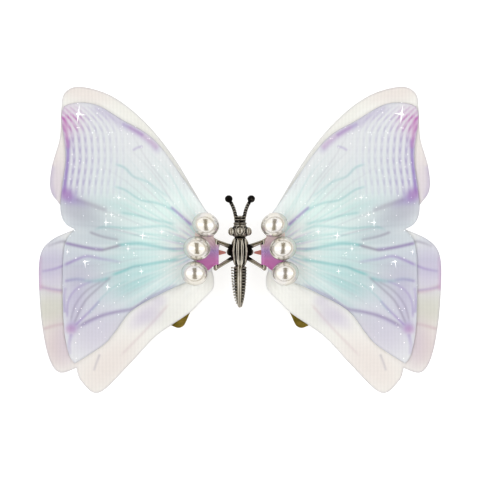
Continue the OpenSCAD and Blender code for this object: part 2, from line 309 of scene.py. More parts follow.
def set_uv(obj, name, places):
    """Stores each point's place on the flat cloth as a UV map."""
    layer = obj.data.uv_layers.new(name=name)
    corners = read(obj.data.loops, "vertex_index", kind=int)
    layer.data.foreach_set("uv", places[corners].astype(np.float32).ravel())


def thicken(obj, label, thickness):
    """Gives a sheet a thickness in millimetres, half on each side."""
    modifier = obj.modifiers.new(label, "SOLIDIFY")
    modifier.thickness = thickness * MM
    modifier.offset = 0


def plain_mesh(obj, name):
    """The object's evaluated mesh as a new plain object. The object itself is removed."""
    bpy.context.view_layer.update()
    graph = bpy.context.evaluated_depsgraph_get()
    mesh = bpy.data.meshes.new_from_object(obj.evaluated_get(graph))
    bpy.data.objects.remove(obj)
    mesh.name = name
    return new_object(name, mesh)


def with_nodes(obj, tree, name, **inputs):
    """Runs a Geometry Nodes tree on the object and returns the result as a plain object."""
    modifier = obj.modifiers.new(tree.name, "NODES")
    modifier.node_group = tree
    sockets = {s.name: s.identifier for s in tree.interface.items_tree if s.in_out == "INPUT"}
    for key, value in inputs.items():
        modifier[sockets[key.replace("_", " ").capitalize()]] = value
    return plain_mesh(obj, name)


def swept(name, points, sweep, finish, radius, sides, edges=None, thickness=None):
    """Round wire of a radius in millimetres along the points in turn, or along the given edges."""
    if edges is None:
        edges = [(i, i + 1) for i in range(len(points) - 1)]
    line = mesh_object("line", points, [], edges=edges)
    set_values(line, thickness=np.ones(len(points)) if thickness is None else thickness)
    return with_nodes(line, sweep, name, radius=radius * MM, sides=sides, finish=finish)


def joined(name, objects, material):
    """One object of one material from several, which are removed."""
    bm = bmesh.new()
    for obj in objects:
        bm.from_mesh(obj.data)
        bpy.data.objects.remove(obj)
    mesh = bpy.data.meshes.new(name)
    bm.to_mesh(mesh)
    bm.free()
    mesh.shade_smooth()
    mesh.materials.clear()
    mesh.materials.append(material)
    return new_object(name, mesh)


# ------------------------------------------------------------- node trees

def new_tree(name, inputs):
    """Geometry Nodes tree with a geometry input and output, and further inputs as (name, kind)."""
    tree = bpy.data.node_groups.new(name, "GeometryNodeTree")
    tree.interface.new_socket("Geometry", in_out="INPUT", socket_type="NodeSocketGeometry")
    for label, kind in inputs:
        tree.interface.new_socket(label, in_out="INPUT", socket_type="NodeSocket" + kind)
    tree.interface.new_socket("Geometry", in_out="OUTPUT", socket_type="NodeSocketGeometry")
    return tree, add_node(tree, "NodeGroupInput")


def end_tree(tree, geometry, finish):
    """Realizes the instances and gives them their material."""
    real = add_node(tree, "GeometryNodeRealizeInstances", {"Geometry": geometry})[0]
    coated = add_node(tree, "GeometryNodeSetMaterial", {"Geometry": real, "Material": finish})[0]
    add_node(tree, "NodeGroupOutput", {0: coated})
    return tree


def repeat_tree():
    """Sets a shape on every point, turned and stretched by the points' own "turn" and "stretch"."""
    tree, given = new_tree("Shape on each point", [("Shape", "Object"), ("Finish", "Material")])
    shape = add_node(tree, "GeometryNodeObjectInfo", {"Object": given["Shape"]})["Geometry"]
    turn, stretch = (
        add_node(tree, "GeometryNodeInputNamedAttribute", {"Name": name}, data_type="FLOAT_VECTOR")[0]
        for name in ("turn", "stretch"))
    shapes = add_node(tree, "GeometryNodeInstanceOnPoints", {
        "Points": given["Geometry"], "Instance": shape, "Rotation": turn, "Scale": stretch})[0]
    return end_tree(tree, shapes, given["Finish"])


def sweep_tree():
    """Sweeps a round section along a path of edges. The section's size follows the points' "thickness"."""
    tree, given = new_tree("Round section along a path", [
        ("Radius", "Float"), ("Sides", "Int"), ("Finish", "Material")])
    path = add_node(tree, "GeometryNodeMeshToCurve", {"Mesh": given["Geometry"]})[0]
    thickness = add_node(tree, "GeometryNodeInputNamedAttribute", {"Name": "thickness"}, data_type="FLOAT")[0]
    section = add_node(tree, "GeometryNodeCurvePrimitiveCircle", {
        "Resolution": given["Sides"], "Radius": given["Radius"]}, mode="RADIUS")[0]
    tube = add_node(tree, "GeometryNodeCurveToMesh", {
        "Curve": path, "Profile Curve": section, "Scale": thickness, "Fill Caps": True})[0]
    return end_tree(tree, tube, given["Finish"])


def scatter_tree():
    """Scatters flat flakes on a sheet, each lifted a little, turned and sized at random from a fixed seed."""
    tree, given = new_tree("Flakes on a sheet", [
        ("Flake", "Object"), ("Finish", "Material"), ("Density", "Float"), ("Seed", "Int"),
        ("Smallest", "Float"), ("Largest", "Float"), ("Lift", "Float"), ("Tilt", "Float")])
    spots = add_node(tree, "GeometryNodeDistributePointsOnFaces", {
        "Mesh": given["Geometry"], "Density": given["Density"], "Seed": given["Seed"]})
    flake = add_node(tree, "GeometryNodeObjectInfo", {"Object": given["Flake"]})["Geometry"]
    size = add_node(tree, "FunctionNodeRandomValue", {
        2: given["Smallest"], 3: given["Largest"], "Seed": given["Seed"]}, data_type="FLOAT")[1]
    low, high = (
        add_node(tree, "ShaderNodeVectorMath", {0: limit, "Scale": given["Tilt"]}, operation="SCALE")[0]
        for limit in ((-1, -1, -9), (1, 1, 9)))
    turn = add_node(tree, "FunctionNodeRandomValue", {
        0: low, 1: high, "Seed": given["Seed"]}, data_type="FLOAT_VECTOR")[0]
    up = add_node(tree, "ShaderNodeCombineXYZ", {"Z": given["Lift"]})[0]
    lifted = add_node(tree, "GeometryNodeSetPosition", {"Geometry": spots["Points"], "Offset": up})[0]
    flakes = add_node(tree, "GeometryNodeInstanceOnPoints", {
        "Points": lifted, "Instance": flake, "Rotation": turn, "Scale": size})[0]
    return end_tree(tree, flakes, given["Finish"])


# --------------------------------------------------------------- wing sheets

def wing_outline(back):
    """Closed outline of the right wing's back or front layer, with corners between smooth stretches."""
    edges = ((BACK_FORE_EDGE, BACK_HIND_EDGE, BACK_TAIL_EDGE) if back
             else (FRONT_FORE_EDGE, FRONT_HIND_EDGE, FRONT_TAIL_EDGE))
    stretches = [smooth_curve(e)[:-1] for e in edges]
    root = np.array([edges[2][-1], (ROOT_X, BAR_BOTTOM_Y - 0.45), (ROOT_X, BAR_TOP_Y + 0.45),
                     (ROOT_X - 0.3, edges[0][0][1] - 1.7)])
    return np.vstack(stretches + [root])


def middle_y():
    """Height of the wings' middle above the loops' line, which the part's frame puts at y = 0."""
    line = wing_outline(True)
    return (line[:, 1].max() + line[:, 1].min()) / 2


MIDDLE_Y = middle_y()


def inside(points, outline):
    """Which points lie inside the closed outline."""
    x, y = points[:, 0], points[:, 1]
    hits = np.zeros(len(points), int)
    for (x0, y0), (x1, y1) in zip(outline, np.roll(outline, -1, axis=0)):
        if y0 != y1:
            cross = (y0 > y) != (y1 > y)
            hits += cross & (x < (x1 - x0) * (y - y0) / (y1 - y0) + x0)
    return hits % 2 == 1


def distance_to(points, line):
    """Distance from each point to a polyline, and how far along it the nearest place is, from 0 to 1."""
    best = np.full(len(points), 1e9)
    along = np.zeros(len(points))
    lengths = np.linalg.norm(np.diff(line, axis=0), axis=1)
    start = np.r_[0, np.cumsum(lengths)]
    for k, (a, b) in enumerate(zip(line[:-1], line[1:])):
        d = b - a
        t = np.clip(((points - a) @ d) / max(d @ d, 1e-9), 0, 1)
        gap = np.linalg.norm(points - a - t[:, None] * d, axis=1)
        near = gap < best
        best[near] = gap[near]
        along[near] = (start[k] + t[near] * lengths[k]) / start[-1]
    return best, along


def cut_sheet(outline, step):
    """Points and triangles of a flat sheet cut to the outline."""
    edge = resampled(np.vstack([outline, outline[:1]]), step)[:-1]
    low, high = edge.min(0), edge.max(0)
    rows = np.arange(low[1], high[1], step * 0.866)
    columns = np.arange(low[0], high[0], step)
    grid = np.array([(x + (j % 2) * step / 2, y) for j, y in enumerate(rows) for x in columns])
    grid = grid[inside(grid, edge)]
    gap, _ = distance_to(grid, np.vstack([edge, edge[:1]]))
    grid = grid[gap > 0.6 * step]
    points = np.vstack([edge, grid])
    ring = [(i, (i + 1) % len(edge)) for i in range(len(edge))]
    made = delaunay_2d_cdt([Vector(p) for p in points], ring, [], 1, 1e-6)
    return np.array([tuple(v) for v in made[0]]), [tuple(f) for f in made[2]]


def wing_height(points, back):
    """Height of a wing layer's middle surface, with the soft folds that fan out from the gathered root."""
    x, y = points[:, 0], points[:, 1]
    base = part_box("right_wing_back" if back else "right_wing_front")[0].z / MM + ORGANZA_T / 2
    radius = BACK_CURVE_R if back else FRONT_CURVE_R
    curve = radius - np.sqrt(radius ** 2 - np.clip(x - CURVE_X, 0, None) ** 2)
    reach = np.hypot(x - 4, y - 1)
    angle = np.arctan2(y - 1, x - 4)
    grow = fade(reach, 6, 36)
    folds = sum(rise * np.sin(waves * angle + phase) for rise, waves, phase in FOLDS) * grow
    gathers = 0.05 * np.sin(46 * angle) * fade(reach, 4.2, 10.2) * np.exp(-((reach - 9) / 6) ** 2)
    flutter = 0.10 * np.sin(x * 0.55 + (0.3 if back else 0) + y * 0.32) * grow
    settle = 0 if back else FRONT_SETTLES * fade(x, 10, 22)
    return base + curve + folds + gathers + flutter - settle


# ------------------------------------------------------------- printed inks

INKS = ("mist", "aqua", "teal", "beige", "blush", "rose", "lilac", "smoke", "violet", "magenta")

# Soft patches of the front layer's print: ink, middle, half sizes, turn in degrees, strength
FRONT_WASHES = [
    ("mist", (27, -1), (17, 14), 0, 0.72), ("mist", (27, 17), (14, 12), 35, 0.50),
    ("aqua", (17, 8), (9, 9), 40, 0.80), ("aqua", (25, 13), (9, 6), 35, 0.30),
    ("aqua", (18, -2), (8, 7), -20, 0.50), ("teal", (21.8, -3.8), (6.2, 4.6), -20, 0.46),
    ("teal", (19.5, -8), (6, 3.6), -28, 0.30), ("teal", (20, 1.4), (5, 1.4), 0, 0.22),
    ("teal", (24, 9.6), (4, 1.2), 14, 0.16), ("lilac", (34.5, 18), (3.6, 11), 0, 0.32),
    ("lilac", (33, -8), (5, 8), 10, 0.46), ("lilac", (29, -15.8), (7.5, 4.6), -40, 0.50),
    ("lilac", (26, 28), (7, 1.8), 28, 0.36), ("lilac", (37, -2), (5, 5), 0, 0.25),
    ("smoke", (32.5, 8.6), (5.4, 2.8), 12, 0.44), ("smoke", (29, 4), (7, 2.4), 0, 0.16),
    ("smoke", (31, -4), (5, 3.5), 0, 0.14), ("violet", (35.2, 12.1), (2.0, 1.6), 40, 0.72),
    ("magenta", (35.6, 12.4), (1.5, 1.3), 40, 0.25),
    ("violet", (33.4, 10.9), (2.6, 0.9), 22, 0.35), ("violet", (34.3, -14.8), (1.2, 1.3), 0, 0.50),
    ("magenta", (34.6, -15.2), (1.3, 1.0), 0, 0.32), ("violet", (33.6, -10), (1.8, 5), 8, 0.20),
    ("rose", (23.5, -14.6), (5, 2.4), -42, 0.15),
]

# Veins of the front layer's print: ink, line, half width, strength at the start and at the end
FRONT_VEINS = [
    ("violet", [(16.2, 20.6), (18.2, 22.9), (21.2, 25.1), (24.4, 26.9), (27.4, 28.9), (30.6, 30.2)],
     0.75, 0.40, 0.20),
    ("violet", [(19.6, 24.3), (21.6, 25.5), (24.2, 26.9)], 0.38, 0.55, 0.4),
    ("magenta", [(16.6, 21.6), (19, 23.8), (21.3, 25.3), (23.0, 26.4)], 0.60, 0.24, 0.16),
    ("violet", [(34.9, 24.2), (35.1, 20.2), (35.6, 15.4), (35.9, 12.0)], 0.42, 0.75, 0.85),
    ("magenta", [(36.0, 28.4), (35.4, 25.0), (35.1, 21.5)], 0.50, 0.65, 0.35),
    ("teal", [(12.6, 8.6), (16.7, 10.5), (20.3, 11.2), (23.6, 13.3), (26.1, 14.0)], 0.26, 0.55, 0.55),
    ("teal", [(14.6, 11.6), (18.8, 14.8), (21.8, 16.0), (23.6, 17.8), (25.8, 18.6)], 0.26, 0.30, 0.55),
    ("teal", [(13, 6.2), (17.7, 7.2), (20.8, 8.0), (24.8, 8.7)], 0.28, 0.45, 0.6),
    ("teal", [(12.0, 4.4), (15.2, 5.8), (18.8, 5.7), (22.8, 5.4), (27.9, 5.7), (29.9, 4.9)], 0.28, 0.4, 0.6),
    ("teal", [(11.6, 2.6), (14.8, 3.8), (18.5, 4.2), (22.5, 4.0)], 0.22, 0.35, 0.2),
    ("violet", [(9.8, 5.9), (12.3, 8.2), (14.3, 9.9)], 0.28, 0.9, 0.6),
    ("violet", [(19.8, 22.2), (21, 21.9), (22, 21.3)], 0.26, 0.35, 0.4),
    ("smoke", [(27, 9.0), (28.9, 9.7), (31.5, 10.6), (33.9, 11.4)], 0.5, 0.35, 0.5),
    ("teal", [(12.5, 0.9), (15.2, 1.3), (18.3, 1.9), (21.3, 2.3), (25.4, 1.9)], 0.36, 0.65, 1.0),
    ("smoke", [(24.0, 2.1), (27.6, 1.1), (28.9, 1.0), (31.1, 1.4), (33.9, 2.0), (36, 2.5)], 0.30, 0.8, 0.75),
    ("violet", [(27.6, 1.1), (31.1, 1.4), (33.9, 2.0), (36, 2.5)], 0.34, 0.4, 0.5),
    ("smoke", [(24.6, 3.0), (28.1, 3.7), (30.9, 4.7)], 0.28, 0.4, 0.65),
    ("violet", [(24, -1.5), (28, -0.9), (31.1, -0.3), (33.2, -0.9), (35.4, -1.9), (36.2, -2.3)],
     0.32, 0.2, 0.75),
    ("teal", [(12.2, -0.6), (13.7, -1.1), (16.7, -1.6), (19.8, -2.1), (21.8, -2.4), (23.8, -3.3),
              (26.6, -4.3)], 0.34, 0.8, 1.0),
    ("smoke", [(26.0, -4.2), (27.6, -5.6), (29.5, -7.3), (31.6, -9.4), (33.1, -12.2), (34.0, -14.4)],
     0.26, 0.45, 0.62),
    ("smoke", [(27.9, -5.3), (31.2, -7.2), (33.6, -10.2), (34.6, -13.8)], 0.24, 0.4, 0.5),
    ("violet", [(29.9, -5.3), (33.2, -6.8), (35.0, -9.3), (35.3, -13.0)], 0.24, 0.3, 0.5),
    ("teal", [(26.4, -4.7), (28.4, -5.2), (30.8, -5.4), (33.4, -5.0), (35.8, -5.3)], 0.40, 1.0, 0.35),
    ("violet", [(31.5, -5.2), (33.4, -5.0), (35.9, -5.4)], 0.30, 0.2, 0.55),
    ("teal", [(22.5, -5.0), (25.4, -6.4), (27.9, -8.4), (29.5, -10.4), (31.2, -12.4)], 0.24, 0.25, 0.55),
    ("violet", [(28.6, -9.2), (30.4, -11.2), (32.6, -13.4), (33.8, -14.6)], 0.26, 0.35, 0.7),
    ("violet", [(35.6, -6.5), (35.9, -9.0), (35.7, -12)], 0.30, 0.35, 0.55),
    ("violet", [(34.4, -16.0), (34.9, -18.5), (34.6, -20.5)], 0.40, 0.5, 0.2),
    ("smoke", [(12.6, -5.9), (15.5, -7.3), (18.8, -9.0), (21.8, -11.0), (25.3, -11.7), (28.4, -12.5),
               (30.9, -13.5), (33.6, -15.1)], 0.32, 0.35, 0.65),
    ("violet", [(12.6, -5.9), (15.5, -7.3), (18.8, -9.0), (21.8, -11.0), (25.3, -11.7), (28.4, -12.5),
                (33.6, -15.1)], 0.46, 0.22, 0.38),
]

BACK_WASHES = [
    ("mist", (24, 2), (14, 17), 0, 0.25), ("mist", (38.5, -1.5), (4.5, 6.0), 0, 0.85),
    ("lilac", (38.5, -3), (4.5, 5.0), 0, 0.62), ("blush", (37.5, 17), (3, 9), 0, 0.55),
    ("lilac", (37.8, 14), (2, 6), 8, 0.34), ("blush", (32, 33.5), (7, 2.6), 12, 0.60),
    ("beige", (21, 28.5), (10, 2.4), 42, 0.16), ("beige", (38.2, -11), (4.6, 4.2), 0, 0.80),
    ("rose", (37, -18.5), (4.6, 5.6), 0, 0.72), ("lilac", (35.5, -17.5), (2.4, 5), 0, 0.26),
    ("blush", (27, -22.5), (9, 4.6), -42, 0.62), ("beige", (14, -12), (7, 2.4), -38, 0.10),
    ("lilac", (18.6, -12.2), (3.0, 2.3), -35, 0.52), ("lilac", (21.2, -13.6), (2.4, 1.5), -42, 0.30),
    ("lilac", (16.6, -9.4), (1.6, 1.3), 0, 0.35),
]
BACK_VEINS = [
    ("rose", [(35.6, -7.6), (38.4, -7.2), (41, -6.3)], 0.50, 0.9, 0.9),
    ("violet", [(36.2, -7.3), (38.4, -7.0), (40.6, -6.6)], 0.26, 0.45, 0.25),
    ("magenta", [(40.6, 0), (40.9, -3.5), (40.9, -7.5)], 0.50, 0.15, 0.42),
    ("rose", [(35.4, -14.0), (38, -14.5), (40.3, -15.2)], 0.36, 0.85, 0.85),
    ("smoke", [(33.7, 2.1), (35.8, 2.7), (37.4, 2.4), (39.4, 1.6)], 0.30, 0.75, 0.30),
    ("violet", [(35, -1.7), (37.6, -2.8), (40.6, -3.4)], 0.30, 0.70, 0.35),
    ("smoke", [(28.6, -20.2), (29.3, -22.0), (29.9, -23.8)], 0.24, 0.42, 0.30),
    ("rose", [(14.5, -10.0), (19.5, -15.6), (24.6, -20.8)], 0.30, 0.45, 0.35),
    ("lilac", [(38.2, 18.4), (38.6, 14.5), (37.6, 11.2)], 0.60, 0.55, 0.55),
]

# Fans of fine lines from under the pearls: ink, strength, count, seed, near and far end, half width
FANS = [("teal", 0.8, 19, 3, 3.8, 9.0, 0.20), ("violet", 0.55, 13, 8, 3.8, 9.0, 0.20),
        ("teal", 0.42, 31, 17, 7, 23, 0.16), ("smoke", 0.30, 17, 29, 12, 29, 0.18)]
BARE_FAN = (27, 41, 8, 25, 0.20)

# Places of the larger star-shaped flakes on the front layer, with their size: painted glints that stand in
# for the glitter's sparkle
STAR_GLINTS = [((33.0, 28.7), 3.2), ((27.4, 6.6), 1.7), ((26.3, 8.2), 1.1), ((19.9, 3.9), 1.7), ((22.9, 1.2), 1.1),
         ((31.7, -1.4), 2.2), ((35.2, 0.6), 1.1), ((24.8, 11.7), 1.0), ((20.2, -3.4), 1.2),
         ((27.1, -6.6), 1.5), ((16, 4.7), 1.2)]
STRIPE_PITCH = 1.26
PRINT_ROOT = (8.5, 1)

# Soft folds of a wing layer that fan out from the root: height, waves in a radian, phase
FOLDS = ((0.42, 7.5, 0.9), (0.16, 19, 2.1))


def wash(points, middle, half, turn):
    """Soft patch that fades out at its rim."""
    a = math.radians(turn)
    d = points - middle
    u = (d[:, 0] * math.cos(a) + d[:, 1] * math.sin(a)) / half[0]
    v = (d[:, 1] * math.cos(a) - d[:, 0] * math.sin(a)) / half[1]
    return np.exp(-1.1 * (u * u + v * v) ** 1.35)


def vein(points, line, half_width, first, last):
    """Thin line that fades from one strength to another."""
    gap, along = distance_to(points, smooth_curve(line, 4))
    ends = np.clip(np.minimum(along, 1 - along) * 12, 0, 1)
    return np.exp(-(gap / half_width) ** 2) * (first + (last - first) * along) * ends


def pleat_stripes(points):
    """Fine upright stripes that follow the fore wing's outer edge and lean over towards its tip."""
    edge = smooth_curve(FRONT_FORE_EDGE[6:10])[::-1]
    edge_x = np.interp(points[:, 1], edge[:, 1], edge[:, 0])
    lean = 0.10 * np.clip(points[:, 1] - 24, 0, None) ** 2
    depth = edge_x - points[:, 0] + lean
    wave = np.cos(2 * math.pi * (depth / STRIPE_PITCH - 0.35))
    lines = np.clip(0.36 + 0.80 * wave, 0, 1) * (0.75 + 0.35 * np.sin(points[:, 1] * 2.9 + 3 * wave))
    fade_up = fade(points[:, 1], 11, 14) * fade(points[:, 1], 30.6, 28.6)
    return lines * fade(points[:, 0], 21, 33) ** 1.4 * fade_up, fade_up * (depth > 0)


def root_lines(points, count, seed, near, far, half_width):
    """Fine lines that fan out from under the pearls, each from near to about far millimetres away."""
    random = np.random.default_rng(seed)
    amount = np.zeros(len(points))
    for angle in np.radians(np.linspace(-62, 66, count) + random.uniform(-2, 2, count)):
        way = np.array([math.cos(angle), math.sin(angle)])
        aside = np.array([-math.sin(angle), math.cos(angle)])
        start = np.array([6.2, 1.2]) + way * near * random.uniform(0.9, 1.2)
        reach = (far - near) * random.uniform(0.6, 1.3)
        bend = aside * random.normal(0, 0.03) * reach
        line = np.array([start, start + way * reach / 2 + bend, start + way * reach])
        gap, along = distance_to(points, smooth_curve(line, 4))
        fade = np.clip((1 - along) * 1.6, 0, 1) * np.clip(along * 8, 0.3, 1)
        amount = np.maximum(amount, np.exp(-(gap / half_width) ** 2) * fade * random.uniform(0.35, 0.8))
    return amount


def streaks(points, seed):
    """Brush streaks that run out from the root, from 0 to 1."""
    random = np.random.default_rng(seed)
    angle = np.arctan2(points[:, 1] - 1, points[:, 0] - 5)
    reach = np.hypot(points[:, 1] - 1, points[:, 0] - 5)
    total = np.zeros(len(points))
    for turns in (14, 23, 37, 61, 90):
        a, b, c = random.uniform(0, 2 * math.pi, 3)
        swing = 0.9 * np.sin(reach * 0.21 + b)
        total += np.sin(turns * angle + a + swing) * np.sin(reach * 0.13 + c) / turns ** 0.35
    return np.clip(0.5 + 0.55 * total, 0, 1)


def printed_inks(points, back, edge_gap):
    """Amount of each ink on each point of a layer."""
    amounts = {ink: np.zeros(len(points)) for ink in INKS}

    def lay(ink, amount):
        amounts[ink] = 1 - (1 - amounts[ink]) * (1 - np.clip(amount, 0, 1))

    for ink, middle, half, turn, strength in BACK_WASHES if back else FRONT_WASHES:
        lay(ink, strength * wash(points, middle, half, turn))
    brushed = streaks(points, 11 if back else 4)
    bare_root = fade(np.hypot(*(points - PRINT_ROOT).T), 3, 9) ** 1.2
    for ink in ("mist", "aqua", "teal", "smoke"):
        amounts[ink] *= bare_root * (0.60 + 0.62 * brushed)
    if not back:
        stripes, band = pleat_stripes(points)
        tip = wash(points, (35.2, 28.0), (3.4, 3.8), 0)
        lay("magenta", tip * (0.20 + 0.60 * stripes))
        lay("violet", 0.50 * stripes * (1 - 0.6 * tip))
        for ink in ("lilac", "mist"):
            amounts[ink] *= 1 - 0.6 * band * (1 - stripes)
        lay("lilac", 0.10 * band)
        for ink, strength, *fan in FANS:
            lay(ink, strength * root_lines(points, *fan))
        bare = 1 - 0.55 * root_lines(points, *BARE_FAN)
        for ink in ("mist", "aqua", "teal"):
            amounts[ink] *= bare
    for ink, line, half_width, first, last in BACK_VEINS if back else FRONT_VEINS:
        lay(ink, vein(points, line, half_width, first, last))
    hidden_edge = 0 if back else 0.85 * fade(points[:, 0], 33.5, 35.5) * (points[:, 1] < 7)
    lay("smoke", 0.30 * (1 - hidden_edge) * np.exp(-(edge_gap / 0.26) ** 2))
    return amounts


def organza(name, inks, thread_pitch, cover):
    """Printed polyester organza, heat-transfer printed and pressed: sheer plain weave of glassy yarn, so it
    is pale and milky, with crisp coloured veins, a faint grid of threads and a satin sheen at a slant."""
    material, tree, plan = new_material(name, "plan")
    colour = linear(inks["cloth"])
    for ink in INKS:
        colour = mixed(tree, stored(tree, ink), colour, linear(inks[ink]))
    # Real yarns lie about 0.15 mm apart. They are drawn coarser, at thread_pitch, so that they show.
    threads = []
    for direction, pitch, weight in (("X", thread_pitch, 0.78), ("Y", thread_pitch * 1.1, 0.22)):
        band = add_node(tree, "ShaderNodeTexWave", {
            "Vector": plan, "Scale": WAVE_SCALE / pitch, "Distortion": 1.2, "Detail": 2.0,
            "Detail Scale": 0.6}, wave_type="BANDS", bands_direction=direction)["Fac"]
        threads.append(maths(tree, "MULTIPLY", band, weight))
    weave = maths(tree, "ADD", *threads)
    shade = maths(tree, "MULTIPLY_ADD", speckle(tree, plan, 0.9, 5.0), 0.05, 0.96)
    shade = maths(tree, "ADD", shade, maths(tree, "MULTIPLY", weave, 0.018))
    grey = add_node(tree, "ShaderNodeCombineColor", {"Red": shade, "Green": shade, "Blue": shade})[0]
    between = maths(tree, "MULTIPLY_ADD", weave, 0.03, cover - 0.015)
    return finished(material, tree, {
        "Base Color": mixed(tree, 1.0, colour, grey, "MULTIPLY"), "Roughness": 0.5, "IOR": 1.54,
        "Alpha": maths(tree, "MULTIPLY_ADD", stored(tree, "gathers"), 0.12, between),
        "Sheen Weight": 0.25, "Sheen Roughness": 0.35, "Specular IOR Level": 0.35}, (0.08, 0.00006, weave))


# ------------------------------------------------------------ other finishes

def pearl_finish(colour):
    """Glass pearl dipped in pearl essence: a milky white body with a deep, soft-edged lacquer gloss, and
    painted shade that darkens its colour towards the rim where the surface turns from the view.
    """
    material, tree, place = new_material("Dipped glass pearl")
    cloud = speckle(tree, place, 420.0, 3.0)
    tint = ramp(tree, cloud, [(0.35, "dcd6c9"), (0.5, "e0dcd4"), (0.65, "dbd8da")])
    # Painted shade: the colour darkens to a warm grey at the rim, where the surface turns away from the view
    slant = add_node(tree, "ShaderNodeLayerWeight", {"Blend": 0.42})["Facing"]
    rim = maths(tree, "POWER", slant, 3.4)
    body = mixed(tree, rim, mixed(tree, 0.25, tint, colour), linear("5a5244"))
    return finished(material, tree, {
        "Base Color": body, "Metallic": 0.75, "Roughness": 0.21, "Coat Weight": 0.35,
        "Coat Roughness": 0.10, "Coat IOR": 1.6}, (0.03, 0.00003, speckle(tree, place, 2500.0)))


def antique_silver(silver, patina):
    """Cast zinc alloy, silver plated and blackened, then tumbled: bright worn ridges and dark recesses."""
    material, tree, place = new_material("Antiqued silver plate on zinc")
    grime = maths(tree, "SUBTRACT", speckle(tree, place, 900.0, 6.0), 0.5)
    darkening = maths(tree, "ADD", stored(tree, "recess"), maths(tree, "MULTIPLY", grime, 0.5))
    dark = ramp(tree, darkening, [(0.34, "000000"), (0.62, "ffffff")])
    # Casting grain of about 0.06 mm
    return finished(material, tree, {
        "Base Color": mixed(tree, dark, silver, patina), "Metallic": 1.0,
        "Roughness": maths(tree, "MULTIPLY_ADD", dark, 0.30, 0.20)},
        (0.12, 0.00003, speckle(tree, place, 9000.0)))


def gold_steel(gold, worn):
    """Pressed steel strip with a thin gold flash: warm and bright, with drawing lines along the strip."""
    material, tree, place = new_material("Gold-flashed steel strip")
    along = add_node(tree, "ShaderNodeMapping", {
        "Vector": place, "Rotation": (0, 0, math.radians(-CLIP_TURN)), "Scale": (300, 9000, 9000)})[0]
    lines = speckle(tree, along, 1.0, 4.0)
    stain = ramp(tree, speckle(tree, place, 500.0, 5.0), [(0.4, "000000"), (0.7, "ffffff")])
    return finished(material, tree, {
        "Base Color": mixed(tree, stain, gold, worn), "Metallic": 1.0,
        "Roughness": maths(tree, "MULTIPLY_ADD", lines, 0.25, 0.18)}, (0.10, 0.00002, lines))


def spring_steel(steel):
    """Zinc-plated spring wire, drawn and coiled: grey and bright with fine lines round the wire."""
    material, tree, place = new_material("Zinc-plated spring wire")
    haze = speckle(tree, place, 1800.0, 4.0)
    return finished(material, tree, {
        "Base Color": mixed(tree, haze, steel, linear("8d8f92")), "Metallic": 1.0, "Roughness": 0.3},
        (0.10, 0.00002, haze))


def satin_ribbon():
    """Polyester satin: floats of shiny yarn across the ribbon, so it glows along its folds. Its colour grade
    across the width is its dye with the satin's sheen painted in.
    """
    material, tree, strip = new_material("Ombre polyester satin ribbon", "strip")
    across = add_node(tree, "ShaderNodeSeparateXYZ", {"Vector": strip})["Y"]
    # Dye and painted sheen: the colour grades from magenta at the lower edge to pale beige at the upper edge
    dye_and_painted_sheen = ramp(tree, across, [(0.0, "c96bb4"), (0.28, "cf7fc0"), (0.50, "b795cf"), (0.68, "d8b6c8"),
                              (1.0, "eedfd4")])
    # The yarns show as faint lines along the ribbon's length
    stretched = add_node(tree, "ShaderNodeMapping", {"Vector": strip, "Scale": (8, 90, 1)})[0]
    # Painted shade: where "tuck" is set, the satin is painted coral for the tucked end that lies in the
    # loop's shade
    return finished(material, tree, {
        "Base Color": mixed(tree, stored(tree, "tuck"), dye_and_painted_sheen, linear("d98a80")), "Roughness": 0.36,
        "IOR": 1.54, "Sheen Weight": 0.4, "Sheen Roughness": 0.3, "Anisotropic": 0.5},
        (0.35, 0.00008, speckle(tree, stretched, 1.0, 3.0)))


def spun_thread():
    """Two-ply spun polyester thread: matt and white, a little fuzzy."""
    material, tree, place = new_material("Spun polyester thread")
    fuzz = speckle(tree, place, 14000.0, 3.0)
    return finished(material, tree, {
        "Base Color": mixed(tree, fuzz, linear("f4f2ec"), linear("dcd8ce")), "Roughness": 0.7,
        "IOR": 1.5, "Sheen Weight": 0.3}, (0.3, 0.00002, fuzz))


def needled_felt():
    """Needled polyester felt: matt white with tangled fibres and a soft furry edge."""
    material, tree, place = new_material("Needled white felt")
    tangle = speckle(tree, place, 2600.0, 8.0, 1.5)
    return finished(material, tree, {
        "Base Color": mixed(tree, tangle, linear("d9d6ce"), linear("fbfaf7")), "Roughness": 0.95,
        "IOR": 1.5, "Specular IOR Level": 0.2, "Sheen Weight": 0.5, "Sheen Roughness": 0.6},
        (0.8, 0.0001, tangle))


def glitter_finish():
    """Pearlescent polyester glitter, die cut: white with a mirror gloss and a trace of colour, and a faint
    glow as painted glints.
    """
    material, tree, place = new_material("Pearlescent polyester glitter")
    tone = speckle(tree, place, 700.0)
    # The emission is painted glints: the flakes glow a little, though they are no lamp
    return finished(material, tree, {
        "Base Color": ramp(tree, tone, [(0.35, "f4fbff"), (0.5, "ffffff"), (0.65, "fff6fd")]),
        "Metallic": 0.2, "Roughness": 0.15, "IOR": 1.6, "Coat Weight": 1.0,
        "Emission Color": (1, 1, 1, 1), "Emission Strength": 0.6})


def stage_finish():
    """Opal acrylic light table: matt, white and lit from within, so shadows on it are faint."""
    material, tree, place = new_material("Opal acrylic light table")
    tone = speckle(tree, place, 3.0)
    return finished(material, tree, {
        "Base Color": ramp(tree, tone, [(0.3, "a6a6a6"), (0.7, "aaaaaa")]), "Roughness": 0.9,
        "Specular IOR Level": 0.0, "Emission Color": (1, 1, 1, 1), "Emission Strength": 0.78})


# ------------------------------------------------------------------ settings

def colour_property(name, description, default):
    return FloatVectorProperty(name=name, description=description, subtype="COLOR", size=4,
                               min=0, max=1, default=linear(default))


def number(name, description, default, low, high, unit="NONE"):
    return FloatProperty(name=name, description=description, default=default, min=low, max=high, unit=unit)


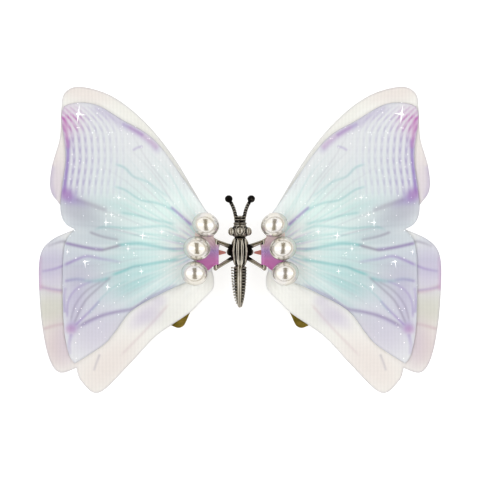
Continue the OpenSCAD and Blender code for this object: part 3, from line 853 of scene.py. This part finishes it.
class WingSettings(bpy.types.PropertyGroup):
    """Sizes of the wings' cloth, print and glitter."""
    sheet_step: number("Mesh step", "Distance between points on a wing layer, in mm", 0.23, 0.15, 1)
    thread_pitch: number("Thread pitch", "Distance between drawn threads, in mm", 0.72, 0.1, 2)
    cloth_thickness: number("Cloth thickness", "Thickness of a layer, in mm", 0.11, 0.05, 0.2)
    glitter_density: number("Glitter density", "Small flakes in a square centimetre", 16, 0, 200)
    glitter_seed: IntProperty(name="Glitter seed", description="Seed of the small flakes' places", default=5)


class MetalSettings(bpy.types.PropertyGroup):
    """Colours of the metal parts and pearls."""
    silver: colour_property("Silver", "Worn silver plate on the ridges", "aaa498")
    patina: colour_property("Patina", "Blackening in the recesses", "12100e")
    gold: colour_property("Gold", "Gold flash on the clip", "bfa851")
    worn_gold: colour_property("Worn gold", "Darker stains on the clip", "77702a")
    spring: colour_property("Spring", "Spring wire", "c4c6c9")
    pearl: colour_property("Pearl", "Pearl lacquer", "fbf8f2")


class StageSettings(bpy.types.PropertyGroup):
    """Camera and lights."""
    view_width: number("View width", "Width that the picture takes in", 0.098, 0.05, 0.5, "LENGTH")
    lens: number("Lens", "Focal length, in mm", 180, 50, 300)
    softbox_power: number("Softbox power", "Power of a side softbox", 0.5, 0, 100, "POWER")
    dome: number("Dome", "Brightness of the white tent", 1.32, 0, 5)


FRONT_INKS = {"cloth": "f8fcfd", "mist": "c8dbe4", "aqua": "e3fbf8", "teal": "9ad4d6", "beige": "d3d4c8",
              "blush": "ece0dd", "rose": "d9c6cb", "lilac": "cbc0de", "smoke": "9a95ad",
              "violet": "9d83cb", "magenta": "c566bd"}
BACK_INKS = dict(FRONT_INKS, cloth="fcfdf9", mist="c9d2e2")


# ----------------------------------------------------------------- operators

def wing_piece(side_name, back, settings, material):
    """One organza layer with its print, as a sheet of cloth."""
    side = SIDES[side_name]
    outline = wing_outline(back)
    flat, faces = cut_sheet(outline, settings.sheet_step)
    edge_gap, _ = distance_to(flat, np.vstack([outline, outline[:1]]))
    height = wing_height(flat, back)
    if side < 0:
        faces = [f[::-1] for f in faces]
    layer = "back" if back else "front"
    obj = mesh_object(f"{side_name}_organza_{layer}", placed(np.c_[flat, height], side), faces, material)
    set_values(obj, **printed_inks(flat, back, edge_gap))
    set_values(obj, gathers=fade(np.hypot(*(flat - PRINT_ROOT).T), 17, 11))
    set_uv(obj, "plan", flat)
    thicken(obj, "Cloth thickness", settings.cloth_thickness)
    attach(obj, f"{side_name}_wing")
    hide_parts(f"{side_name}_wing_{layer}")
    return obj


def flake(name, radii, peak=0.0):
    """Flat flake whose rim points lie at the given distances from its middle, which may be raised."""
    count = len(radii)
    ring = [(r * math.cos(2 * math.pi * k / count), r * math.sin(2 * math.pi * k / count), 0)
            for k, r in enumerate(radii)]
    faces = [(k, (k + 1) % count, count) for k in range(count)] if peak else [range(count)]
    middle = [(0, 0, peak)] if peak else []
    return mesh_object(name, np.array(ring + middle) * MM, faces, smooth=False)


class HAIRCLIP_OT_wings(bpy.types.Operator):
    """Two printed organza layers on each side, with glitter on the upper one"""
    bl_idname = "hairclip.wings"
    bl_label = "Organza wings"

    def execute(self, context):
        settings = context.scene.hairclip_wings
        front = organza("Printed polyester organza", FRONT_INKS, settings.thread_pitch, FRONT_COVER)
        back = organza("Pale polyester organza", BACK_INKS, settings.thread_pitch, BACK_COVER)
        shine = glitter_finish()
        hexagon = flake("hexagon", [0.5] * 6)
        star = flake("star", [0.5, 0.065] * 4, 0.02)
        scatter, repeat = scatter_tree(), repeat_tree()
        for side_name, side in SIDES.items():
            wing_piece(side_name, True, settings, back)
            sheet = wing_piece(side_name, False, settings, front)
            self.glitter(sheet, side_name, side, settings, shine, (hexagon, star), (scatter, repeat))
        for obj in (hexagon, star):
            bpy.data.objects.remove(obj)
        return {"FINISHED"}

    def glitter(self, sheet, side_name, side, settings, shine, shapes, trees):
        """Small scattered flakes and a few star-shaped ones on the upper layer, the star-shaped ones as
        painted glints.
        """
        lift = (settings.cloth_thickness / 2 + FLAKE_LIFT) * MM
        ground = new_object("ground", sheet.data.copy())
        small = with_nodes(ground, trees[0], "small", flake=shapes[0], finish=shine,
                           density=settings.glitter_density * 1e4, seed=settings.glitter_seed,
                           smallest=FLAKE_SIZES[0], largest=FLAKE_SIZES[1], lift=lift, tilt=0.12)
        # Star-shaped flakes put where the glitter sparkles: painted glints
        spots = np.array([spot for spot, _ in STAR_GLINTS], float)
        points = placed(np.c_[spots, wing_height(spots, False)], side) + (0, 0, lift)
        holder = mesh_object("stars", points, [])
        set_values(holder, turn=[(0, 0, 0.12 * (k % 3 - 1)) for k in range(len(STAR_GLINTS))],
                   stretch=[(s, s * 1.25, 1) for _, s in STAR_GLINTS])
        stars = with_nodes(holder, trees[1], "stars", shape=shapes[1], finish=shine)
        piece = joined(f"{side_name}_glitter", [small, stars], shine)
        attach(piece, f"{side_name}_wing")


def pearl_profile():
    """Section of a pearl from one end of its hole to the other, with a little dimple at each mouth."""
    low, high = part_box("right_pearl_bottom")
    radius, half, bore = (high.z - low.z) / MM / 2, PEARL_HALF, PEARL_BORE / 2
    end = math.acos(bore / radius)
    arc = [(radius * math.cos(a), half * math.sin(a)) for a in np.linspace(-end, end, 41)]
    return [(bore, -half + 0.25)] + arc + [(bore, half - 0.25)]


def turned_shape(name, profile, segments, material):
    """Closed ring made by turning a section about z."""
    points = [(r * math.cos(a), r * math.sin(a), z)
              for a in 2 * math.pi * np.arange(segments) / segments for r, z in profile]
    return mesh_object(name, points, quads(segments, len(profile), joined_ends=True), material)


class HAIRCLIP_OT_pearls(bpy.types.Operator):
    """Three drilled pearls on each side, and the thread that sews them down"""
    bl_idname = "hairclip.pearls"
    bl_label = "Pearls and thread"

    def execute(self, context):
        coat = pearl_finish(list(context.scene.hairclip_metals.pearl))
        thread = spun_thread()
        sweep = sweep_tree()
        for side_name, side in SIDES.items():
            for place, turn in PEARL_TURNS.items():
                node = f"{side_name}_pearl_{place}"
                low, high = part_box(node)
                middle = (low + high) / 2
                bead = turned_shape(f"{side_name}_bead_{place}", pearl_profile(), 72, coat)
                bead.data.transform(Matrix.Translation(middle)
                                    @ Matrix.Rotation(math.radians(turn * side), 4, "Z")
                                    @ Matrix.Rotation(math.radians(-90), 4, "X") @ Matrix.Scale(MM, 4))
                outward(bead)
                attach(bead, f"{side_name}_wing")
                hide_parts(node)
            self.sewing(side_name, side, thread, sweep)
        return {"FINISHED"}

    def sewing(self, side_name, side, material, sweep):
        """Two twisted plies that pass through each pearl and down through the cloth at its ends."""
        strands = []
        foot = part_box(f"{side_name}_sewing_thread")[0].z / MM + 0.12
        for place, turn in PEARL_TURNS.items():
            low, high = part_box(f"right_pearl_{place}")
            middle = (low + high) / 2 / MM
            way = Vector((-math.sin(math.radians(turn)), math.cos(math.radians(turn)), 0))
            half, top = PEARL_HALF + 0.06, middle.z
            rise = [(-half, foot), (-half, top - 0.35), (-half + 0.12, top - 0.08), (-half + 0.5, top)]
            loop = rise + [(-u, z) for u, z in rise[::-1]]
            route = np.array([(middle.x + way.x * u, middle.y + MIDDLE_Y + way.y * u, z) for u, z in loop])
            route = resampled(smooth_curve(route, 6), SEWING_STEP)
            for ply in (0, math.pi):
                turns = np.arange(len(route)) * SEWING_STEP / PLY_PITCH * 2 * math.pi + ply
                offset = PLY_APART * np.c_[np.cos(turns) * way.y, np.cos(turns) * -way.x, np.sin(turns)]
                strands.append(swept("ply", placed(route + offset, side), sweep, material, PLY_R, 8))
        piece = joined(f"{side_name}_thread", strands, material)
        outward(piece)
        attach(piece, f"{side_name}_wing")
        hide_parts(f"{side_name}_sewing_thread")


def ribbon_edges(x):
    """Lower and upper edge of the ribbon at a distance from the bar, gathered at the bar and fanned out."""
    low = np.interp(x, (BAR_X, 5.3, 6.6, 7.1, RIBBON_END_X), (-2.05, -2.25, -3.3, -3.6, -3.65))
    high = np.interp(x, (BAR_X, 5.15, 5.5, 6.2, RIBBON_END_X), (2.05, 2.6, 4.1, 5.2, 5.95))
    return low, high


def tuck_edges(x):
    """Lower and upper edge of the ribbon's tucked end, cut to a slant."""
    return np.interp(x, (TUCK_X, BAR_X), (0.25, -0.25)), np.interp(x, (TUCK_X, BAR_X), (0.6, 1.2))


class HAIRCLIP_OT_ribbon(bpy.types.Operator):
    """Ribbon folded round each loop's bar, with its gathered fold and its tucked end"""
    bl_idname = "hairclip.ribbon"
    bl_label = "Ribbon hinges"

    def execute(self, context):
        satin = satin_ribbon()
        for side_name, side in SIDES.items():
            self.ribbon(side_name, side, satin)
        return {"FINISHED"}

    def ribbon(self, side_name, side, satin):
        """The ribbon as one strip: upper tail, fold round the bar, lower tail, and the tucked end, which is
        marked for painted shade.
        """
        joint = next(j for j in frame["joints"] if j["name"] == "right_wing_flap")
        axis_z = joint["pos_m"][2] / MM
        fold = BAR_R + RIBBON_GAP + RIBBON_T / 2
        tail = np.linspace(RIBBON_END_X, BAR_X, 36)
        arc = np.radians(np.linspace(90, 270, 17))[1:-1]
        path = [(x, axis_z + fold) for x in tail]
        path += [(BAR_X + fold * math.cos(a), axis_z + fold * math.sin(a)) for a in arc]
        path += [(x, axis_z - fold) for x in tail[::-1]]
        tuck = [(x, axis_z - fold) for x in np.linspace(TUCK_X, BAR_X, 12)]
        points, faces, painted_shade_marks, strip = [], [], [], []
        across = np.linspace(0, 1, 61)
        for part, is_tuck in ((path, 0), (tuck, 1)):
            faces += quads(len(part), len(across), start=len(points), closed=False)
            for k, (x, z) in enumerate(part):
                low, high = tuck_edges(x) if is_tuck else ribbon_edges(max(x, BAR_X))
                gather = 0.0 if is_tuck else float(fade(x, 7.5, 5.0))
                for v in across:
                    ripple = GATHER_HEIGHT * gather * math.sin(v * 2 * math.pi * RIBBON_GATHERS + 0.4)
                    if x > BAR_X:
                        ripple = ripple if z > axis_z else -ripple
                    points.append((x, low + (high - low) * v, z + ripple))
                    painted_shade_marks.append(is_tuck)
                    strip.append((k * 0.15, low + (high - low) * v))
        obj = mesh_object(f"{side_name}_ribbon", placed(points, side), faces, satin)
        # The tucked end lies in the loop's shade, and the satin paints it coral: painted shade
        set_values(obj, tuck=painted_shade_marks)
        span = np.array(strip)
        span[:, 1] = fade(span[:, 1], -3.0, 4.5)
        set_uv(obj, "strip", span)
        thicken(obj, "Ribbon thickness", RIBBON_SHOWN_T)
        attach(obj, f"{side_name}_wing")
        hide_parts(f"{side_name}_hinge_ribbon")


# -------------------------------------------------------------- cast body

class Casting:
    """Collects rounded lumps in millimetres, before they are fused into one casting."""

    def __init__(self):
        self.points, self.faces = [], []

    def add(self, points, faces):
        start = len(self.points)
        self.points += [tuple(p) for p in points]
        self.faces += [tuple(start + i for i in f) for f in faces]

    def ball(self, middle, half, rings=16, sides=24):
        """Ellipsoid with half sizes."""
        rows = [(math.sin(t) * math.cos(u), math.sin(t) * math.sin(u), math.cos(t))
                for t in math.pi * np.arange(1, rings) / rings
                for u in 2 * math.pi * np.arange(sides) / sides]
        last = len(rows) + 1
        foot = last - sides
        faces = [(0, 1 + s, 1 + (s + 1) % sides) for s in range(sides)]
        for row in range(1, foot, sides):
            faces += [(row + s, row + sides + s, row + sides + (s + 1) % sides, row + (s + 1) % sides)
                      for s in range(sides)]
        faces += [(foot + s, last, foot + (s + 1) % sides) for s in range(sides)]
        self.add(np.array([(0, 0, 1)] + rows + [(0, 0, -1)]) * half + middle, faces)

    def tube(self, route, radii, sides=16):
        """Round bar along a route, closed by its end points."""
        route = np.array(route, float)
        points = []
        for p, w, r in zip(route, np.gradient(route, axis=0), radii):
            w = w / np.linalg.norm(w)
            u = np.cross(w, (0, 0, 1.0) if abs(w[2]) < 0.9 else (1.0, 0, 0))
            u /= np.linalg.norm(u)
            v = np.cross(w, u)
            points += [p + r * (u * math.cos(a) + v * math.sin(a))
                       for a in 2 * math.pi * np.arange(sides) / sides]
        faces = quads(len(route), sides)
        faces.append(tuple(range(sides))[::-1])
        faces.append(tuple(range((len(route) - 1) * sides, len(route) * sides)))
        self.add(points, faces)

    def slab(self, outline, low, high):
        """Upright slab over a plan outline."""
        count = len(outline)
        points = [(x, y, z) for z in (low, high) for x, y in outline]
        self.add(points, quads(2, count) + [tuple(range(count))[::-1], tuple(range(count, 2 * count))])


def raised(points, side):
    """Points given from the casting's middle, on one side, with z above its middle plane."""
    return [(side * x, y, BODY_Z + z) for x, y, z in points]


def abdomen_half(t):
    """Half width of the abdomen from the thorax (t = 0) to its tip (t = 1)."""
    return 1.55 * math.sqrt(max(0.02, 1 - (0.97 * t) ** 2.0))


def cast_abdomen(casting):
    """Tapering abdomen: a raised keel, fine ribs across it and a row of beads down its left edge."""
    start, length, ribs = -2.4, 8.4, 14
    line = np.linspace(0, 1, 24)
    route = [(0, start - length * t, BODY_Z - 0.15) for t in line]
    casting.tube(route, [0.82 * abdomen_half(t) for t in line])
    keel = [(-0.1, start - length * t, BODY_Z + 0.62 * abdomen_half(t)) for t in line]
    casting.tube(keel, [0.36 * abdomen_half(t) + 0.05 for t in line])
    for k in range(ribs):
        t = (k + 0.5) / ribs
        half = abdomen_half(t)
        casting.ball((0, start - length * t, BODY_Z - 0.15), (half, 0.17, half * 0.9))
        casting.ball((-half - 0.12, start - length * t * 0.93, BODY_Z - 0.45), (0.23, 0.20, 0.26))


def cast_thorax(casting):
    """Thorax with a pointed shield, two fine ridges on it and a rounded flank on each side."""
    casting.ball((0, 0.4, BODY_Z), (1.70, 3.3, 1.45))
    casting.ball((0, 2.2, BODY_Z), (1.74, 1.7, 1.30))
    shield = [(-0.55, 3.3), (0.55, 3.3), (0.80, 1.8), (0.74, 0.2), (0.62, -1.6), (0, -3.6),
              (-0.62, -1.6), (-0.74, 0.2), (-0.80, 1.8)]
    casting.slab(shield, BODY_Z, BODY_Z + 1.56)
    for side in (-1, 1):
        ridge = raised([(0.30, 2.9, 1.60), (0.34, 0, 1.64), (0.14, -2.7, 1.45)], side)
        flank = raised([(1.05, 3.3, 0.95), (1.34, 0.8, 1.0), (1.06, -2.0, 0.85)], side)
        casting.tube(ridge, [0.13, 0.15, 0.10], 10)
        casting.tube(flank, [0.20, 0.27, 0.17], 10)


def cast_head(casting):
    """Broad head with bulging eyes, a browed dome and a banded collar that carries the antennae."""
    casting.ball((0, 4.75, BODY_Z), (1.95, 1.45, 1.50))
    casting.ball((0, 4.9, BODY_Z + 0.75), (1.05, 0.95, 0.95))
    casting.ball((0, 5.9, BODY_Z + 0.3), (1.35, 0.8, 1.0))
    for side in (-1, 1):
        casting.ball((side * 1.70, 4.75, BODY_Z + 0.45), (0.74, 0.90, 0.85))
        brow = raised([(0.55, 3.9, 1.35), (0.95, 4.8, 1.30), (0.60, 5.8, 1.20)], side)
        casting.tube(brow, [0.13, 0.17, 0.12], 10)
    casting.tube([(0, 5.9, BODY_Z), (0, 7.9, BODY_Z + 0.15)], [1.22, 1.05], 24)
    for y, half in ((6.45, 1.48), (7.15, 1.34), (7.75, 1.18)):
        casting.ball((0, y, BODY_Z + 0.1), (half, 0.24, 1.34))


def cast_antennae(casting):
    """Ribbed stalks that curve outwards to a ball at the tip."""
    for side in (-1, 1):
        foot, tip = np.array((side * 0.86, 7.5, BODY_Z + 0.3)), np.array((side * 2.30, 11.4, BODY_Z + 1.6))
        t = np.linspace(0, 1, 60)[:, None]
        bow = np.sin(math.pi * t) * (-0.28 * side, 0, 0)
        casting.tube(foot + (tip - foot) * t + bow, 0.38 + 0.06 * np.cos(2 * math.pi * t[:, 0] * 8), 14)
        casting.ball(tip, (0.80, 0.76, 0.80))
        casting.ball(tip + (side * 0.35, -0.1, 0.2), (0.42, 0.42, 0.42))


def cast_loops(casting):
    """The two side loops: two ridged arms that part from the thorax and an outer bar between their ends."""
    z = BODY_Z - 0.3
    for side in (-1, 1):
        bar = [(side * BAR_X, y, z) for y in np.linspace(BAR_TOP_Y, BAR_BOTTOM_Y, 10)]
        casting.tube(bar, [BAR_R] * 10)
        t = np.linspace(0, 1, 14)[:, None]
        for inner_y, outer_y, stout in ((1.30, BAR_TOP_Y, 0.56), (-0.40, BAR_BOTTOM_Y, 0.46)):
            a, b = np.array((side * 1.1, inner_y, z)), np.array((side * BAR_X, outer_y, z))
            casting.tube(a + (b - a) * t, np.linspace(stout, 0.37, 14))
            lift = np.array((0, 0.16 * np.sign(outer_y), 0.34))
            casting.tube(a + lift + (b - a - lift) * t, np.linspace(0.24, 0.14, 14), 10)
            casting.ball(b, (BAR_R,) * 3)
        # A web between the arms beside the thorax, which the body's material makes darker
        casting.ball((side * 1.9, 0.55, z - 0.05), (0.88, 0.80, 0.34))


def smoothed(values, edges, count, rounds):
    """Values averaged with their neighbours along the edges."""
    degree = np.bincount(edges.ravel(), minlength=count)[:, None]
    for _ in range(rounds):
        total = np.zeros_like(values)
        for k in range(values.shape[1]):
            total[:, k] = (np.bincount(edges[:, 0], values[edges[:, 1], k], count)
                           + np.bincount(edges[:, 1], values[edges[:, 0], k], count))
        values = 0.5 * values + 0.5 * total / degree
    return values


class HAIRCLIP_OT_body(bpy.types.Operator):
    """Cast butterfly body with its two side loops"""
    bl_idname = "hairclip.body"
    bl_label = "Cast body"

    def execute(self, context):
        metals = context.scene.hairclip_metals
        silver = antique_silver(list(metals.silver), list(metals.patina))
        casting = Casting()
        for cast in (cast_abdomen, cast_thorax, cast_head, cast_antennae, cast_loops):
            cast(casting)
        obj = mesh_object("rough", casting.points, casting.faces)
        outward(obj, merge=False)
        fuse = obj.modifiers.new("Fuse", "REMESH")
        fuse.mode = "VOXEL"
        fuse.voxel_size = CASTING_VOXEL
        obj = plain_mesh(obj, "cast_body")
        mesh = obj.data
        count = len(mesh.vertices)
        edges = read(mesh.edges, "vertices", 2, int)
        co = smoothed(read(mesh.vertices, "co", 3), edges, count, 1)
        co[:, 2] = np.maximum(co[:, 2], BODY_FLAT_Z)
        broad = smoothed(co, edges, count, 22)
        mesh.vertices.foreach_set("co", co.ravel())
        mesh.update()
        depth = np.sum((broad - co) * read(mesh.vertex_normals, "vector", 3), axis=1)
        # The blackening stays in the hollows and on the antennae. The webs beside the thorax are made darker
        # as well.
        x, y = np.abs(co[:, 0]), co[:, 1]
        recess = np.clip(FLAT_RECESS + depth / HOLLOW_DEPTH, 0, 1)
        # Darker on the webs beside the thorax
        recess += 0.45 * fade(x, 1.3, 1.8) * fade(x, 3.3, 2.1) * fade(np.abs(y - 0.4), 2.0, 1.2)
        recess += 0.38 * fade(y, 7.7, 8.1)
        set_values(obj, recess=np.clip(recess, 0, 1))
        mesh.vertices.foreach_set("co", placed(co, 1).ravel())
        mesh.shade_smooth()
        mesh.materials.clear()
        mesh.materials.append(silver)
        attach(obj, "body")
        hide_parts("body_casting")
        return {"FINISHED"}


# ------------------------------------------------------------ alligator clip

def at_clip(points, side, pin):
    """Points along the clip from its pin, across it and above the table, as points in the part's frame."""
    turn = math.radians(CLIP_TURN)
    p = np.array(points, float)
    along, across = p[:, 0], p[:, 1]
    x = pin.x / MM + along * math.cos(turn) - across * math.sin(turn)
    y = pin.y / MM + along * math.sin(turn) + across * math.cos(turn)
    return np.c_[x * side, y, p[:, 2]] * MM


class HAIRCLIP_OT_clips(bpy.types.Operator):
    """Alligator clips: gilt jaws and pin, the coiled spring and the felt pad"""
    bl_idname = "hairclip.clips"
    bl_label = "Alligator clips"

    def execute(self, context):
        metals = context.scene.hairclip_metals
        gilt = gold_steel(list(metals.gold), list(metals.worn_gold))
        wire = spring_steel(list(metals.spring))
        felt = needled_felt()
        sweep = sweep_tree()
        low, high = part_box("right_clip_pin")
        pin = (low + high) / 2
        for side_name, side in SIDES.items():
            for part in ("clip_upper_jaw", "clip_lower_jaw", "clip_pin"):
                node = frame["nodes"][f"{side_name}_{part}"]
                node.data.materials.clear()
                node.data.materials.append(gilt)
                edges = node.modifiers.new("Rolled edges", "BEVEL")
                edges.width, edges.segments, edges.limit_method = ROLLED_EDGE * MM, 2, "ANGLE"
                edges.angle_limit = math.radians(40)
            self.spring(side_name, side, pin, wire, sweep)
            self.felt_pad(side_name, side, pin, felt, sweep)
        return {"FINISHED"}

    def spring(self, side_name, side, pin, wire, sweep):
        """Spring wound round the pin. Its upper leg presses on the upper jaw, its lower leg on the lever."""
        middle = pin.z / MM
        leg = np.array([(-SPRING_LEG, 0, 1.65), (-2.6, 0, 1.30), (-1.1, 0, COIL_R + 0.10), (-0.3, 0, COIL_R)])
        upper = smooth_curve(leg, 8) + (0, COIL_HALF, middle)
        lower = smooth_curve(leg * (1, 1, -1), 8)[::-1] + (0, -COIL_HALF, middle)
        turns = np.radians(np.linspace(90, 90 - 360 * COIL_TURNS, 200))
        coil = np.c_[COIL_R * np.cos(turns), np.linspace(COIL_HALF, -COIL_HALF, len(turns)),
                     middle + COIL_R * np.sin(turns)]
        route = np.vstack([upper, coil, lower])
        piece = outward(swept(f"{side_name}_spring", at_clip(route, side, pin), sweep, wire, SPRING_R, 14))
        piece.data.shade_smooth()
        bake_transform(piece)
        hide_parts(f"{side_name}_clip_spring")

    def felt_pad(self, side_name, side, pin, felt, sweep):
        """Felt pad with round ends: a soft uneven slab, and loose fibres round its cut edge."""
        low, high = (v.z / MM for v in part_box(f"{side_name}_felt_pad"))
        around = np.linspace(0, 2 * math.pi, 160, endpoint=False)
        flat = np.linspace(0, PAD_R - 0.25, 14)
        section = [(r, low + 0.02) for r in flat] + [(PAD_R - 0.06, low + 0.12), (PAD_R, low + 0.35)]
        section += [(PAD_R, high - 0.32), (PAD_R - 0.05, high - 0.14)]
        section += [(r, high - 0.03) for r in flat[::-1]]
        points = []
        for reach, z in section:
            for a in around:
                rough = noise.noise(Vector((reach * math.cos(a), reach * math.sin(a), z)) * 2.6)
                out = min(reach, reach + 0.09 * rough) if reach > 0 else 0
                along = out * math.cos(a) + PAD_HALF * np.clip(3 * math.cos(a), -1, 1)
                lift = -0.05 * abs(rough) if z > low + 0.5 else 0.05 * abs(rough)
                points.append((along, out * math.sin(a), z + lift))
        faces = quads(len(section), len(around))
        pad = outward(mesh_object(f"{side_name}_felt", at_clip(points, side, pin), faces, felt))
        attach(pad, f"{side_name}_wing")
        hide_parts(f"{side_name}_felt_pad")
        random = np.random.default_rng(21)
        routes, edges = [], []
        for a in random.uniform(0, 2 * math.pi, FIBRES):
            way = np.array([math.cos(a), math.sin(a), 0])
            foot = way * (PAD_R - 0.08) + (PAD_HALF * np.clip(3 * math.cos(a), -1, 1), 0,
                                           random.uniform(low + 0.15, high - 0.15))
            bend = random.normal(0, 0.22, 3) * (1, 1, 0.4)
            start = len(routes)
            routes += [foot + t * (0.30 * way + bend) + t * t * random.normal(0, 0.08, 3) * (1, 1, 0.3)
                       for t in (0, 0.35, 0.7, 1.0)]
            edges += [(start + i, start + i + 1) for i in range(3)]
        fibres = swept(f"{side_name}_felt_fibres", at_clip(routes, side, pin), sweep, felt, FIBRE_R, 5,
                       edges, np.tile((1.0, 0.9, 0.7, 0.35), FIBRES))
        fibres.data.shade_smooth()
        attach(fibres, f"{side_name}_wing")


# --------------------------------------------------------------------- stage

class HAIRCLIP_OT_stage(bpy.types.Operator):
    """White sweep, camera straight above and soft light from both sides"""
    bl_idname = "hairclip.stage"
    bl_label = "Stage"

    def execute(self, context):
        settings = context.scene.hairclip_stage
        scene = context.scene
        floor = mesh_object("floor", [(-1, -1, 0), (1, -1, 0), (1, 1, 0), (-1, 1, 0)], [(0, 1, 2, 3)],
                            stage_finish(), smooth=False)
        camera = bpy.data.cameras.new("camera")
        camera.lens = settings.lens
        camera.clip_start = 0.01
        distance = settings.view_width * camera.lens / camera.sensor_width
        scene.camera = new_object("camera", camera)
        scene.camera.location = (0, 0, distance + FOCUS_Z)
        for side in (-1, 1):
            self.softbox(side, settings.softbox_power)
        self.dome(scene, settings.dome)
        scene.view_settings.view_transform = "Standard"
        return {"FINISHED"}

    def softbox(self, side, power):
        """Large soft light beside and above the clip."""
        light = bpy.data.lights.new(f"softbox_{side}", "AREA")
        light.shape = "RECTANGLE"
        light.size, light.size_y = SOFTBOX_SIZE
        light.energy = power
        lamp = new_object(light.name, light)
        lamp.location = Vector(SOFTBOX_PLACE) * Vector((side, 1, 1))
        lamp.rotation_euler = lamp.location.to_track_quat("Z", "Y").to_euler()

    def dome(self, scene, strength):
        """White tent with a dark band at the table's height and a slot above for the camera."""
        world = bpy.data.worlds.new("White tent")
        world.use_nodes = True
        scene.world = world
        tree = world.node_tree
        tree.nodes.clear()
        place = add_node(tree, "ShaderNodeTexCoord")["Generated"]
        way = add_node(tree, "ShaderNodeSeparateXYZ", {"Vector": place})
        lean = maths(tree, "MULTIPLY_ADD", way["X"], -0.10, way["Z"])
        band = ramp(tree, lean, [(0.0, "cdc8be"), (0.13, "8f887b"), (0.30, "ffffff"), (1.0, "ffffff")])
        height = maths(tree, "MAXIMUM", way["Z"], 0.01)
        across, along = (maths(tree, "DIVIDE", maths(tree, "ABSOLUTE", way[axis]), height)
                         for axis in "XY")
        half_width = maths(tree, "MULTIPLY_ADD", maths(tree, "POWER", along, 2.0), 0.10, 0.33)
        in_width = maths(tree, "SUBTRACT", half_width, across)
        in_length = maths(tree, "SUBTRACT", 2.0, along)
        inside = maths(tree, "MINIMUM", in_width, maths(tree, "MULTIPLY", in_length, 0.5))
        gap = maths(tree, "MAXIMUM", maths(tree, "MULTIPLY", inside, 14.0), 0.0)
        gap = maths(tree, "SMOOTH_MIN", gap, 1.0, 0.1)
        colour = mixed(tree, gap, band, linear("5a4a18"))
        light = add_node(tree, "ShaderNodeBackground", {"Color": colour, "Strength": strength})[0]
        add_node(tree, "ShaderNodeOutputWorld", {"Surface": light})


class HAIRCLIP_PT_panel(bpy.types.Panel):
    """Sidebar panel with the settings and a button for each piece"""
    bl_idname = "HAIRCLIP_PT_panel"
    bl_label = "Butterfly hair clip"
    bl_space_type = "VIEW_3D"
    bl_region_type = "UI"
    bl_category = "Hair clip"

    def draw(self, context):
        for name in GROUPS:
            group, box = getattr(context.scene, name), self.layout.box()
            for key in group.__annotations__:
                box.prop(group, key)
        for operator in OPERATORS:
            self.layout.operator(operator.bl_idname)


OPERATORS = (HAIRCLIP_OT_stage, HAIRCLIP_OT_wings, HAIRCLIP_OT_pearls, HAIRCLIP_OT_ribbon,
             HAIRCLIP_OT_body, HAIRCLIP_OT_clips)
GROUPS = {"hairclip_wings": WingSettings, "hairclip_metals": MetalSettings, "hairclip_stage": StageSettings}


def register():
    for group in GROUPS.values():
        bpy.utils.register_class(group)
    for name, group in GROUPS.items():
        setattr(bpy.types.Scene, name, PointerProperty(type=group))
    for item in OPERATORS + (HAIRCLIP_PT_panel,):
        bpy.utils.register_class(item)


def unregister():
    for item in (HAIRCLIP_PT_panel,) + OPERATORS[::-1]:
        bpy.utils.unregister_class(item)
    for name in GROUPS:
        delattr(bpy.types.Scene, name)
    for group in GROUPS.values():
        bpy.utils.unregister_class(group)


def main():
    register()
    for operator in OPERATORS:
        family, name = operator.bl_idname.split(".")
        getattr(getattr(bpy.ops, family), name)()


if __name__ == "__main__":
    main()
